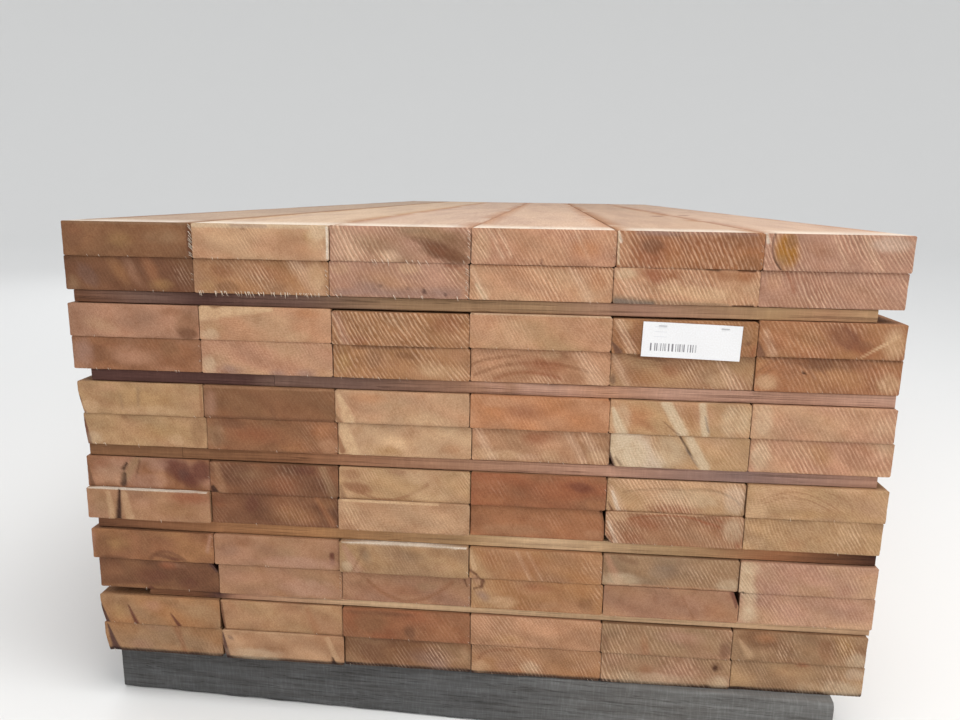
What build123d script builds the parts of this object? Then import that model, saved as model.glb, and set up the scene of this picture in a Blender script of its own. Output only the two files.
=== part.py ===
from build123d import *
import os
from math import cos, hypot, radians, sin, sqrt

os.makedirs("parts", exist_ok=True)

# A package of rough-sawn boards, stacked flat in tiers with stickers between the tiers, on three bunks.
# Millimetres. X runs across the package, -Y is the end that is seen, +Z is up.
# The origin is the middle of the middle bunk's underside.

# Boards
board_length = 3048.0
board_width = 202.0
board_thickness = 50.8
side_gap = 1.5
arris = 1.5
boards_per_layer = 6
tier_count = 6

# Stickers, the strips that part the tiers
sticker_thickness = 19.0
lath_thickness = 12.0
sticker_width = 38.0
sticker_recess = 5.0
sticker_arris = 1.0
lath_row = 1

# Bunks, the heavy strips that the package stands on
bunk_height = 89.0
bunk_width = 89.0
bunk_length = 1150.0
bunk_arris = 4.0
front_bunk_yaw = 2.5
front_bunk_lead = 20.0
front_bunk_right_inset = 43.0
back_bunk_inset = 30.0

# The lot tag, a card stapled to a board's end
tag_width = 137.0
tag_height = 50.0
tag_thickness = 0.6
tag_tilt = -1.5
tag_drop = 4.0
tag_side = 10.0
tag_tier = 5
tag_column = 5

# The trunk that the waney boards were sawn from
trunk_radius = 230.0
trunk_taper = 26.0

front = -board_length / 2
back = board_length / 2

# One line for each layer, lowest first, and one number for each board, left to right.
# How far each board's end stands out of the package's front.
end_step = (
    (0.0, 2.5, -1.0, 0.0, 1.0, -1.5),
    (1.5, -0.5, 1.0, 1.0, 2.0, 0.5),
    (-1.0, 0.5, -1.0, 1.0, 2.0, 0.0),
    (1.0, 1.5, 5.0, 2.0, 0.0, 2.0),
    (4.5, -1.0, 2.5, -2.0, 2.5, 1.5),
    (-1.5, 0.5, -0.5, 2.0, -1.0, 3.0),
    (-2.0, 0.0, -1.5, -2.5, 0.5, -1.0),
    (0.5, 1.0, 1.5, 2.0, 2.0, 1.5),
    (-0.5, 1.0, 0.0, -3.0, -3.5, -1.5),
    (1.0, 1.5, 2.0, 2.5, 3.0, 1.5),
    (-1.5, 0.5, 0.0, -1.0, 1.0, -2.0),
    (1.0, 3.5, 1.0, 0.5, 1.5, 1.0),
)

# How much narrower than the widest board each board is.
width_trim = (
    (4.0, 2.5, 0.0, 0.5, 5.5, 4.5),
    (3.0, 3.0, 0.0, 0.0, 6.0, 4.0),
    (4.5, 4.0, 0.0, 0.5, 0.5, 6.0),
    (2.0, 1.5, 1.0, 0.5, 0.5, 4.5),
    (3.0, 1.5, 0.0, 0.5, 1.0, 6.0),
    (4.0, 0.5, 1.0, 1.0, 1.5, 4.0),
    (6.0, 0.0, 0.5, 0.0, 4.0, 2.5),
    (4.5, 0.5, 1.0, 0.0, 3.0, 3.0),
    (1.0, 3.0, 0.0, 1.5, 1.0, 3.5),
    (0.5, 3.5, 1.0, 0.5, 1.5, 3.0),
    (4.5, 1.5, 0.0, 0.5, 3.5, 5.0),
    (5.0, 1.0, 0.0, 0.5, 4.0, 5.0),
)

# How much thinner than the thickest board each board is.
thickness_trim = (
    (0.0, 0.3, 0.0, 0.4, 0.2, 0.5),
    (0.4, 0.0, 0.6, 0.0, 0.5, 0.0),
    (0.2, 0.5, 0.0, 0.3, 0.0, 0.4),
    (0.6, 0.0, 0.0, 0.5, 0.9, 0.2),
    (0.0, 0.4, 0.7, 0.0, 0.3, 0.0),
    (0.3, 0.8, 0.2, 0.0, 0.4, 0.0),
    (0.5, 0.0, 0.3, 0.2, 0.0, 0.4),
    (0.0, 0.2, 0.4, 0.0, 0.6, 0.3),
    (0.2, 0.0, 1.2, 0.0, 1.4, 0.0),
    (0.4, 0.0, 1.3, 0.0, 1.0, 0.0),
    (0.0, 0.2, 0.0, 0.3, 0.0, 0.2),
    (0.0, 0.0, 0.0, 0.0, 0.0, 0.0),
)

# How far each layer lies to the right of the middle.
layer_shift = (3.0, 1.0, 4.0, -0.5, -1.0, 0.5, 1.5, -1.5, -3.0, -3.5, -6.5, -4.5)

# Waney boards: layer, column, side (-1 left, 1 right), level (-1 lower edge, 1 upper edge), run and rise.
waney_boards = (
    (0, 0, -1, -1, 6.0, 30.0),
    (0, 1, -1, -1, 6.0, 26.0),
    (1, 0, -1, -1, 7.0, 28.0),
    (1, 1, -1, -1, 6.0, 38.0),
    (2, 0, 1, 1, 11.0, 16.0),
    (2, 4, 1, 1, 9.0, 24.0),
    (4, 3, 1, 1, 5.0, 22.0),
    (4, 4, -1, -1, 9.0, 12.0),
    (6, 0, -1, -1, 4.0, 42.0),
    (6, 4, -1, -1, 7.0, 14.0),
    (7, 0, -1, -1, 8.0, 36.0),
)

# How far each sticker row ends inside the package at its left and right ends, lowest row first.
sticker_insets = (
    (80.0, 1.0),
    (10.0, 2.0),
    (4.0, 16.0),
    (24.0, 2.0),
    (9.0, 34.0),
)

# Front stickers made of two lengths that butt: how far the joint is from the left end.
third_row_joint = 150.0
fourth_row_joint = 287.0
joint_gap = 0.5
front_joints = {2: third_row_joint, 3: fourth_row_joint}

row_shift_step = 2
bunk_names = ("front_bunk", "middle_bunk", "back_bunk")
row_places = ("front", "middle", "back")
layer_names = ("lower", "upper")


def pick(table, *where):
    """Reads a table, going round again past its end."""
    for index in where:
        table = table[index % len(table)]
    return table


def thickness(layer, column):
    return board_thickness - pick(thickness_trim, layer, column)


def width(layer, column):
    return board_width - pick(width_trim, layer, column)


def run_of(layer, boards):
    """The room that the first boards of a layer take, side by side, with the gap after each."""
    return sum(width(layer, column) + side_gap for column in range(boards))


def column_x(layer, column):
    left_edge = (side_gap - run_of(layer, boards_per_layer)) / 2 + run_of(layer, column)
    return left_edge + width(layer, column) / 2 + pick(layer_shift, layer)


def side_x(tier, side):
    """How far the tier's lower layer reaches to the left (-1) or the right (1)."""
    column = 0 if side < 0 else boards_per_layer - 1
    return column_x(2 * tier, column) + side * width(2 * tier, column) / 2


def side_by_side(layer, column, other_layer, other_column):
    """True if the two boards share some of the package's width, so that one can rest on the other."""
    apart = abs(column_x(layer, column) - column_x(other_layer, other_column))
    return apart < (width(layer, column) + width(other_layer, other_column)) / 2


def lift(layer, column):
    """How far the board lies above its tier's floor: an upper board rests on the thickest under it."""
    if layer % 2 == 0:
        return 0.0
    return max(
        thickness(layer - 1, below)
        for below in range(boards_per_layer)
        if side_by_side(layer, column, layer - 1, below)
    )


def tier_height(tier):
    upper = 2 * tier + 1
    return max(lift(upper, column) + thickness(upper, column) for column in range(boards_per_layer))


def row_thickness(row):
    return lath_thickness if row == lath_row - 1 else sticker_thickness


def tier_floor(tier):
    height = bunk_height
    for below in range(tier):
        height += tier_height(below) + row_thickness(below)
    return height


def board_floor(layer, column):
    return tier_floor(layer // 2) + lift(layer, column)


def trunk_centre(wide, thick, side, level, run, rise):
    """The middle of the trunk's front section, which takes a corner off the board."""
    corner = (side * wide / 2, level * thick / 2)
    on_edge = (corner[0] - side * run, corner[1])
    on_side = (corner[0], corner[1] - level * rise)
    chord = hypot(run, rise)
    reach = sqrt(trunk_radius**2 - (chord / 2) ** 2)
    middle = ((on_edge[0] + on_side[0]) / 2, (on_edge[1] + on_side[1]) / 2)
    return middle[0] - side * reach * rise / chord, middle[1] - level * reach * run / chord


def make_board(layer, column):
    wide = width(layer, column)
    thick = thickness(layer, column)
    step = pick(end_step, layer, column)
    x = column_x(layer, column)
    z = board_floor(layer, column) + thick / 2
    with BuildPart() as board:
        with BuildSketch(Plane.XZ.offset(-front + step)) as section:
            with Locations((x, z)):
                Rectangle(wide, thick)
            chamfer(section.vertices(), arris)
        extrude(amount=-board_length)
        for wane in waney_boards:
            if wane[:2] != (layer, column):
                continue
            trunk_x, trunk_z = trunk_centre(wide, thick, *wane[2:])
            with Locations(Location((x + trunk_x, front - step, z + trunk_z), (-90, 0, 0))):
                Cone(
                    trunk_radius,
                    trunk_radius + trunk_taper,
                    board_length,
                    align=(Align.CENTER, Align.CENTER, Align.MIN),
                    mode=Mode.INTERSECT,
                )
    return board.part


def write(piece, name):
    piece.label = name
    export_step(piece, f"parts/{name}.step")


# Boards: two layers in each tier, face to face
for tier in range(tier_count):
    for level, level_name in enumerate(layer_names):
        boards = [make_board(2 * tier + level, column) for column in range(boards_per_layer)]
        with BuildPart() as board_layer:
            add(boards)
        write(board_layer.part, f"tier_{tier + 1}_{level_name}_boards")


# Stickers: one row over each tier but the top one, in line with the bunks
def sticker_y(place):
    front_y = front + sticker_recess + sticker_width / 2
    return (front_y, 0.0, -front_y)[place]


def make_sticker(left, right, row, place):
    floor = tier_floor(row) + tier_height(row)
    thick = row_thickness(row)
    with BuildPart() as sticker:
        with BuildSketch(Plane.YZ.offset(left)) as section:
            with Locations((sticker_y(place), floor + thick / 2)):
                Rectangle(sticker_width, thick)
            chamfer(section.vertices(), sticker_arris)
        extrude(amount=right - left)
    return sticker.part


for row in range(tier_count - 1):
    for place, place_name in enumerate(row_places):
        left_inset, right_inset = pick(sticker_insets, row + row_shift_step * place)
        left = side_x(row + 1, -1) + left_inset
        right = side_x(row + 1, 1) - right_inset
        name = f"sticker_row_{row + 1}_{place_name}"
        if place == 0 and row in front_joints:
            joint = left + front_joints[row]
            write(make_sticker(left, joint - joint_gap / 2, row, place), f"{name}_left")
            write(make_sticker(joint + joint_gap / 2, right, row, place), f"{name}_right")
        else:
            write(make_sticker(left, right, row, place), name)


# Bunks: the front one lies a little askew and leads the boards' ends at its right end
def bunk_middle(place):
    if place == 0:
        turn = radians(front_bunk_yaw)
        right = side_x(0, 1) - front_bunk_right_inset
        lead = front - front_bunk_lead
        x = right - bunk_length / 2 * cos(turn) - bunk_width / 2 * sin(turn)
        y = lead + bunk_length / 2 * sin(turn) + bunk_width / 2 * cos(turn)
        return x, y, -front_bunk_yaw
    if place == 1:
        return 0.0, 0.0, 0.0
    return 0.0, back - back_bunk_inset - bunk_width / 2, 0.0


for place, name in enumerate(bunk_names):
    x, y, turn = bunk_middle(place)
    along = Vector(1, 0, 0).rotate(Axis.Z, turn)
    start = Vector(x, y, bunk_height / 2) - along * (bunk_length / 2)
    with BuildPart() as bunk:
        with BuildSketch(Plane(origin=start, x_dir=Vector(0, 0, 1), z_dir=along)):
            RectangleRounded(bunk_height, bunk_width, bunk_arris)
        extrude(amount=bunk_length)
    write(bunk.part, name)


# Lot tag: flat against the end of one upper board
tag_layer = 2 * tag_tier - 1
tag_board = tag_column - 1
tag_x = column_x(tag_layer, tag_board) + tag_side
tag_z = board_floor(tag_layer, tag_board) + thickness(tag_layer, tag_board) - tag_drop - tag_height / 2
tag_front = -front + pick(end_step, tag_layer, tag_board)
with BuildPart() as lot_tag:
    with BuildSketch(Plane.XZ.offset(tag_front)):
        with Locations((tag_x, tag_z)):
            Rectangle(tag_width, tag_height, rotation=tag_tilt)
    extrude(amount=tag_thickness)
write(lot_tag.part, "lot_tag")
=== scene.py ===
import math

import bpy
import numpy as np
from mathutils import Matrix, Vector


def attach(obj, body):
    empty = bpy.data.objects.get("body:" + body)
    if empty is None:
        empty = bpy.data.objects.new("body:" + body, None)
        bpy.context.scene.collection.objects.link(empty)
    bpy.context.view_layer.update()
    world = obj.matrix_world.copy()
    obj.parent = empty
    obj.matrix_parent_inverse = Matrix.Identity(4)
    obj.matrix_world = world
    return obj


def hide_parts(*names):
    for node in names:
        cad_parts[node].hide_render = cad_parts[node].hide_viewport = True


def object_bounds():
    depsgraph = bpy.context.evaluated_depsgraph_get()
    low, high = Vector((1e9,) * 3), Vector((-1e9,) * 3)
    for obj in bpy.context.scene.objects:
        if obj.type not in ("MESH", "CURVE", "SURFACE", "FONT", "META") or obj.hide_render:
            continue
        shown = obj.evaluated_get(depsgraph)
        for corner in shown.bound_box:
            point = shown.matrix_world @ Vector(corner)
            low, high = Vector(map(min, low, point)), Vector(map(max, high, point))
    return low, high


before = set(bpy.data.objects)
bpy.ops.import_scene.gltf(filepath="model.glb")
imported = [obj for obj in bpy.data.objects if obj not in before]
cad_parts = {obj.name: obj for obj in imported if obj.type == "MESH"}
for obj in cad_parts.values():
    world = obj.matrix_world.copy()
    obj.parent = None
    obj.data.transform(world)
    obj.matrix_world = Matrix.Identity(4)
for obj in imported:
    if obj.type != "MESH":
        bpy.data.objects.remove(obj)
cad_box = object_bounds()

# A stickered package of rough-sawn boards: sawn ends with cut marks, rings, stains and splinters,
# weathered bunks, handled stickers and a stapled lot tag. It is worked out in millimetres, in the frame of
# the solids, and built in metres.

MM = 0.001
TINY = 1e-9
rng = np.random.default_rng(20117)
BOX_LOW, BOX_HIGH = (np.array(tuple(corner)) / MM for corner in cad_box)


# Timber tones, written as display colours

def linear(red, green, blue):
    """A display colour from 0 to 255 as the light that it reflects."""
    values = np.array((red, green, blue)) / 255.0
    return np.where(values <= 0.04045, values / 12.92, ((values + 0.055) / 1.055) ** 2.4)


TONES = {name: linear(*colour) for name, colour in {
    "white": (232, 222, 206), "glow": (229, 196, 167), "ivory": (214, 194, 164), "cream": (214, 180, 142),
    "pale": (192, 155, 121), "straw": (184, 149, 110), "yellow": (178, 140, 90), "peach": (193, 147, 114),
    "pink": (187, 140, 112), "blush": (190, 149, 128), "mauve": (180, 138, 116), "tan": (170, 129, 97),
    "rose": (165, 124, 99), "honey": (168, 122, 82), "amber": (160, 104, 58), "orange": (186, 128, 88),
    "copper": (164, 112, 78), "rust": (152, 92, 62), "brown": (148, 102, 72), "khaki": (158, 126, 95),
    "olive": (134, 95, 66), "umber": (114, 76, 54), "maroon": (104, 58, 46), "plum": (88, 60, 54),
    "lilac": (150, 122, 113), "dusk": (122, 94, 82), "moss": (142, 116, 92), "grey": (126, 112, 100),
    "bark": (58, 32, 26), "shade": (44, 28, 26), "resin": (168, 116, 44), "ash": (91, 91, 91),
    # A paler bunk grey that paints light on the bunks' right end
    "ash_painted_lit": (112, 111, 109),
}.items()}


# Smooth, repeatable noise

def wobble(values, seed):
    """Smooth noise along one number, about -1 to 1."""
    total, size = 0.0, 1.0
    for octave in range(3):
        phase = seed * 1.7 + octave * 2.1
        bent = values * 2.0**octave + phase + 1.6 * np.sin(values * 0.61 + phase * 1.3)
        total = total + size * np.sin(bent)
        size *= 0.5
    return total / 1.75


def patches(x, z, seed):
    """Smooth noise over a plane, about -1 to 1, for x and z in patch sizes."""
    first = wobble(x + 0.7 * np.sin(z * 1.1 + seed), seed) * 0.6
    second = wobble(z * 1.3 + 0.8 * np.sin(x * 0.9 - seed), seed + 5.3) * 0.5
    return first + second + 0.3 * np.sin(1.9 * x + 2.3 * z + seed * 2.7)


def smooth_step(low, high, values):
    """From 0 at low to 1 at high, without a kink."""
    share = np.clip((values - low) / (high - low), 0.0, 1.0)
    return share * share * (3 - 2 * share)


def mixed(first, second, share):
    """A tone between two others, one for each share."""
    share = np.asarray(share)[..., None]
    return first * (1 - share) + second * share


# Solids as the frame gives them

class Outline:
    """A convex section as half planes in x and z, in millimetres."""

    def __init__(self, points):
        middle = points.mean(0)
        order = np.argsort(np.arctan2(points[:, 1] - middle[1], points[:, 0] - middle[0]))
        self.points = points[order]
        along = np.roll(self.points, -1, 0) - self.points
        size = np.hypot(along[:, 0], along[:, 1])
        keep = size > 1e-3
        self.normals = np.stack([along[keep, 1], -along[keep, 0]], 1) / size[keep, None]
        self.limits = (self.normals * self.points[keep]).sum(1)

    def reach(self, centre, ways):
        """How far the outline is from the centre along each unit way."""
        facing = ways @ self.normals.T
        room = self.limits - self.normals @ centre
        return np.where(facing > TINY, room / np.maximum(facing, TINY), np.inf).min(1)

    def cut(self, start, way):
        """Where lines through the start points, all one way, enter and leave, and through which edges."""
        facing = self.normals @ way
        room = self.limits - start @ self.normals.T
        out = np.where(facing > TINY, room / np.where(facing > TINY, facing, 1.0), np.inf)
        into = np.where(facing < -TINY, room / np.where(facing < -TINY, facing, 1.0), -np.inf)
        return into.max(1), out.min(1), into.argmax(1), out.argmin(1)


def separate_solids(node):
    """The corners of each separate solid of a node, in millimetres, left to right."""
    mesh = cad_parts[node].data
    corners = np.empty(len(mesh.vertices) * 3)
    mesh.vertices.foreach_get("co", corners)
    corners = np.round(corners.reshape(-1, 3) / MM, 2)
    places, welded = np.unique(corners, axis=0, return_inverse=True)
    welded = welded.ravel()
    owner = np.arange(len(places))

    def root(i):
        while owner[i] != i:
            i = owner[i]
        return i

    for polygon in mesh.polygons:
        ring = [root(welded[i]) for i in polygon.vertices]
        for other in ring[1:]:
            owner[root(other)] = root(ring[0])
    roots = np.array([root(i) for i in range(len(places))])
    solids = [places[roots == r] for r in np.unique(roots)]
    return sorted(solids, key=lambda solid: solid[:, 0].min())


# Mesh building

# The strength of the rings where a tone names none, and the angle in degrees from which an edge stays sharp
PLAIN_RINGS = 0.3
SHARP_ANGLE = 38.0


class Mesh:
    """Collects points in millimetres, faces and paint for one piece."""

    def __init__(self):
        self.points, self.faces, self.kinds, self.count = [], [], [], 0
        self.paint = {"tone": [], "ring": [], "cut": []}

    def add(self, points, faces, kind, tone, ring, cut=(0.0, 0.0, 0.0)):
        """Kind is the faces' material. Tone may have the strength of the rings as its fourth number."""
        points = np.asarray(points, float).reshape(-1, 3)
        base = self.count
        self.points.append(points)
        self.join([[i + base for i in face] for face in faces], kind)
        self.count += len(points)
        for name, values, size in (("tone", tone, 4), ("ring", ring, 3), ("cut", cut, 3)):
            values = np.asarray(values, float)
            if size == 4 and values.shape[-1] == 3:
                values = np.concatenate([values, np.full(values.shape[:-1] + (1,), PLAIN_RINGS)], -1)
            if values.ndim > 1:
                values = values.reshape(-1, size)
            self.paint[name].append(np.broadcast_to(values, (len(points), size)))
        return base

    def join(self, faces, kind):
        """More faces, over points that are there."""
        self.faces.extend([tuple(int(i) for i in face) for face in faces])
        self.kinds.extend([kind] * len(faces))

    def build(self, name, materials, node):
        """The finished piece, with its paint and in place of the node."""
        points = np.clip(np.concatenate(self.points), BOX_LOW, BOX_HIGH)
        mesh = bpy.data.meshes.new(name)
        mesh.from_pydata((points * MM).tolist(), [], self.faces)
        mesh.polygons.foreach_set("material_index", self.kinds)
        mesh.polygons.foreach_set("use_smooth", [True] * len(self.faces))
        for material in materials:
            mesh.materials.append(material)
        layer = mesh.color_attributes.new("tone", "FLOAT_COLOR", "POINT")
        layer.data.foreach_set("color", np.concatenate(self.paint["tone"]).ravel())
        for kind in ("ring", "cut"):
            layer = mesh.attributes.new(kind, "FLOAT_VECTOR", "POINT")
            layer.data.foreach_set("vector", np.concatenate(self.paint[kind]).ravel())
        mesh.set_sharp_from_angle(angle=math.radians(SHARP_ANGLE))
        piece = bpy.data.objects.new(name, mesh)
        bpy.context.scene.collection.objects.link(piece)
        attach(piece, "root")
        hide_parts(node)


# Materials. The attribute ring is a place in millimetres. Cut is the count of cut marks, the distance along
# them in millimetres, and their strength. Only the depths of bumps are in metres.

RING_PITCH, BLADE_PITCH = 3.6, 9.0
FINE_MARKS_PER_CUT = 2.62


class Nodes:
    """Short forms for building a material's nodes."""

    def __init__(self, name):
        self.material = bpy.data.materials.new(name)
        self.material.use_nodes = True
        self.tree = self.material.node_tree
        self.shader = self.tree.nodes["Principled BSDF"]

    def new(self, kind, inputs=(), **settings):
        node = self.tree.nodes.new(kind)
        for key, value in settings.items():
            setattr(node, key, value)
        for socket, value in dict(inputs).items():
            self.feed(node.inputs[socket], value)
        return node

    def feed(self, socket, value):
        if isinstance(value, bpy.types.NodeSocket):
            self.tree.links.new(value, socket)
        else:
            socket.default_value = value

    def attribute(self, name, output="Vector"):
        node = self.new("ShaderNodeAttribute", attribute_type="GEOMETRY", attribute_name=name)
        return node.outputs[output]

    def parts(self, vector):
        return self.new("ShaderNodeSeparateXYZ", {0: vector}).outputs

    def math(self, operation, first, second=0.0, third=0.0):
        return self.new("ShaderNodeMath", {0: first, 1: second, 2: third}, operation=operation).outputs[0]

    def times(self, first, second):
        return self.math("MULTIPLY", first, second)

    def times_plus(self, first, second, third):
        """First times second, plus third."""
        return self.math("MULTIPLY_ADD", first, second, third)

    def wave(self, angle):
        """A sine between 0 and 1."""
        return self.times_plus(self.math("SINE", angle), 0.5, 0.5)

    def stretch(self, vector, amounts):
        return self.new("ShaderNodeVectorMath", {0: vector, 1: amounts}, operation="MULTIPLY").outputs[0]

    def noise(self, vector, scale, detail=3.0, roughness=0.55):
        inputs = {"Vector": vector, "Scale": scale, "Detail": detail, "Roughness": roughness}
        return self.new("ShaderNodeTexNoise", inputs).outputs["Fac"]

    def ramp(self, value, low, high, top=1.0):
        """0 below low, and top above high."""
        node = self.new("ShaderNodeMapRange", {0: value, 1: low, 2: high, 3: 0.0, 4: top},
                        interpolation_type="SMOOTHSTEP")
        return node.outputs[0]

    def mix(self, share, first, second, blend="MIX"):
        node = self.new("ShaderNodeMix", data_type="RGBA", blend_type=blend)
        self.feed(node.inputs[0], share)
        for socket, value in ((node.inputs[6], first), (node.inputs[7], second)):
            if not isinstance(value, bpy.types.NodeSocket):
                value = (*value, 1.0)
            self.feed(socket, value)
        return node.outputs[2]

    def scaled(self, share, colour, by):
        """The colour, and where the share is 1 the colour multiplied."""
        return self.mix(share, colour, self.mix(1.0, colour, by, "MULTIPLY"))

    def bump(self, height, strength, distance, normal=None):
        inputs = {"Height": height, "Strength": strength, "Distance": distance}
        if normal is not None:
            inputs["Normal"] = normal
        return self.new("ShaderNodeBump", inputs).outputs[0]

    def finish(self, colour, roughness, relief, shine=0.25):
        self.feed(self.shader.inputs["Base Color"], colour)
        self.feed(self.shader.inputs["Roughness"], roughness)
        self.feed(self.shader.inputs["Normal"], relief)
        self.shader.inputs["Specular IOR Level"].default_value = shine
        return self.material


def growth_rings(n, ring, sharpness):
    """A value that peaks in each year's dark late wood, from the place about the pith in millimetres."""
    radius = n.new("ShaderNodeVectorMath", {0: n.stretch(ring, (1.0, 0.0, 1.0))}, operation="LENGTH")
    age = n.times_plus(n.noise(ring, 0.03, 2.0), 16.0, radius.outputs["Value"])
    age = n.times_plus(n.noise(ring, 0.4, 3.0), 1.2, age)
    turn = n.math("FRACT", n.times(age, 1.0 / RING_PITCH))
    return n.math("POWER", turn, sharpness)


def end_wood():
    """Sawn end grain: cut marks, growth rings, torn fibres and dust."""
    n = Nodes("fir_end")
    tone, plainness = n.attribute("tone", "Color"), n.attribute("tone", "Alpha")
    ring = n.attribute("ring")
    stroke, along, power = n.parts(n.attribute("cut"))
    rings = growth_rings(n, ring, 2.2)
    place = {0: n.times(stroke, 4.0), 1: n.times(along, 0.2), 2: 0.0}
    where = n.new("ShaderNodeCombineXYZ", place).outputs[0]
    shaken = n.times_plus(n.noise(where, 0.25, 2.0), 0.7, stroke)
    wave = n.wave(n.times(shaken, math.tau))
    fine = n.wave(n.times(shaken, math.tau * FINE_MARKS_PER_CUT))
    torn = n.ramp(n.noise(where, 0.35, 3.0, 0.6), 0.30, 0.60)
    gritty = n.ramp(n.noise(ring, 0.9, 3.0, 0.7), 0.28, 0.55)
    crest = n.times(n.math("POWER", wave, 2.2), n.times(torn, gritty))
    crest = n.times_plus(n.times(fine, torn), 0.22, crest)
    crest = n.times(crest, power)
    trough = n.times(n.math("SUBTRACT", 1.0, wave), power)
    speckle = n.noise(ring, 0.55, 4.0, 0.75)
    mottle = n.noise(ring, 0.24, 3.0, 0.65)
    fibre = n.noise(ring, 1.7, 3.0, 0.7)
    colour = n.scaled(n.times(rings, plainness), tone, (0.62, 0.50, 0.42))
    colour = n.scaled(n.ramp(n.noise(ring, 0.05, 3.0), 0.42, 0.72), colour, (0.90, 0.85, 0.81))
    colour = n.scaled(n.ramp(speckle, 0.62, 0.36, 0.9), colour, (0.79, 0.75, 0.72))
    colour = n.scaled(n.ramp(mottle, 0.60, 0.38), colour, (0.94, 0.92, 0.91))
    colour = n.scaled(trough, colour, (0.80, 0.73, 0.69))
    light = n.mix(0.42, n.mix(1.0, colour, (1.42, 1.38, 1.34), "MULTIPLY"), TONES["glow"])
    colour = n.mix(n.times(crest, 1.08), colour, light)
    relief = n.bump(crest, 0.6, 0.0007)
    relief = n.bump(n.times_plus(speckle, 1.5, fibre), 0.4, 0.0005, relief)
    return n.finish(colour, n.times_plus(fibre, 0.15, 0.78), relief)


def face_wood():
    """A board's long faces: sawn along the grain, with the blade's marks across it, knots and fuzz."""
    n = Nodes("fir_face")
    tone = n.attribute("tone", "Color")
    ring = n.attribute("ring")
    lean, travel, _ = n.parts(ring)
    rings = growth_rings(n, ring, 1.6)
    fibre = n.noise(n.stretch(ring, (1.0, 0.012, 1.0)), 0.9, 4.0, 0.7)
    fine = n.noise(n.stretch(ring, (1.0, 0.03, 1.0)), 3.0, 3.0, 0.7)
    travel = n.times_plus(lean, 0.06, travel)
    unrest = n.noise(ring, 0.012, 2.0)
    phase = n.times_plus(unrest, 40.0, n.times(travel, math.tau / BLADE_PITCH))
    blade = n.wave(phase)
    blade = n.times(blade, n.ramp(n.noise(ring, 0.02, 3.0), 0.35, 0.6))
    blotch = n.noise(n.stretch(ring, (1.0, 0.15, 1.0)), 0.02, 3.0)
    knots = n.new("ShaderNodeTexVoronoi", {"Vector": n.stretch(ring, (1.0, 0.55, 1.0)), "Scale": 0.0034},
                  feature="F1").outputs["Distance"]
    knot = n.ramp(knots, 0.075, 0.035, 0.85)
    colour = n.scaled(n.times(rings, 0.38), tone, (0.68, 0.55, 0.46))
    colour = n.scaled(n.ramp(fibre, 0.75, 0.3), colour, (0.80, 0.76, 0.73))
    colour = n.scaled(n.ramp(blotch, 0.40, 0.70), colour, (0.86, 0.84, 0.86))
    colour = n.scaled(n.times(blade, 0.22), colour, (1.3, 1.32, 1.34))
    colour = n.mix(knot, colour, TONES["maroon"])
    relief = n.bump(blade, 0.5, 0.0008)
    relief = n.bump(fine, 0.5, 0.0005, relief)
    return n.finish(colour, n.times_plus(fine, 0.15, 0.78), relief)


def fuzz_wood():
    """Torn fibres and splinters, paler than the wood they hang on."""
    n = Nodes("fir_fuzz")
    speckle = n.noise(n.attribute("ring"), 0.8, 2.0)
    colour = n.scaled(speckle, n.attribute("tone", "Color"), (0.8, 0.76, 0.72))
    return n.finish(colour, n.times_plus(speckle, 0.1, 0.8), n.bump(speckle, 0.3, 0.0003), 0.2)


def strip_wood(name, scale, darkening, streaks, kerf):
    """Sticker and bunk timber, whose grain runs along X. Kerf is the strength of the saw marks across it."""
    n = Nodes(name)
    tone, ring = n.attribute("tone", "Color"), n.attribute("ring")
    lines = n.noise(n.stretch(ring, (0.02, 1.0, 1.0)), 0.55 / scale, 4.0, 0.7)
    coarse = n.noise(n.stretch(ring, (0.05, 1.0, 1.0)), 0.12, 3.0)
    dust = n.noise(ring, 0.03, 4.0, 0.65)
    saw = n.noise(n.stretch(ring, (1.0, 0.05, 0.12)), 0.35, 2.0)
    check = n.noise(n.stretch(ring, (0.006, 0.5, 1.0)), 0.16, 3.0, 0.6)
    crack = n.ramp(n.math("ABSOLUTE", n.math("SUBTRACT", check, 0.5)), 0.012, 0.004)
    colour = n.scaled(n.ramp(lines, 0.66, 0.36, streaks), tone, darkening)
    colour = n.scaled(n.ramp(coarse, 0.4, 0.65), colour, (0.86, 0.84, 0.83))
    colour = n.scaled(n.ramp(dust, 0.45, 0.7, 0.4), colour, (1.30, 1.32, 1.34))
    colour = n.scaled(n.ramp(saw, 0.45, 0.7, kerf), colour, (1.22, 1.24, 1.25))
    colour = n.scaled(n.times(crack, 0.7), colour, (0.4, 0.36, 0.34))
    relief = n.bump(lines, 0.6, 0.0008)
    relief = n.bump(n.math("SUBTRACT", 1.0, crack), 0.5, 0.001, relief)
    return n.finish(colour, n.times_plus(lines, 0.15, 0.8), relief, 0.2)


# Looks of the ends. A pair is one tier's upper and lower board in one column: tier 1 is the top tier here,
# and column 1 the left one.

class Look:
    """Each board's main and second tone, the pith's place in millimetres from the pair's middle, the strength
    of the rings, and that of each board's cut marks."""

    def __init__(self, upper, upper_too, lower, lower_too, pith_x, pith_z, rings, upper_cuts, lower_cuts):
        self.tones = ((upper, upper_too), (lower, lower_too))
        self.pith = np.array((pith_x, pith_z))
        self.rings = rings
        self.cuts = (upper_cuts, lower_cuts)


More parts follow.
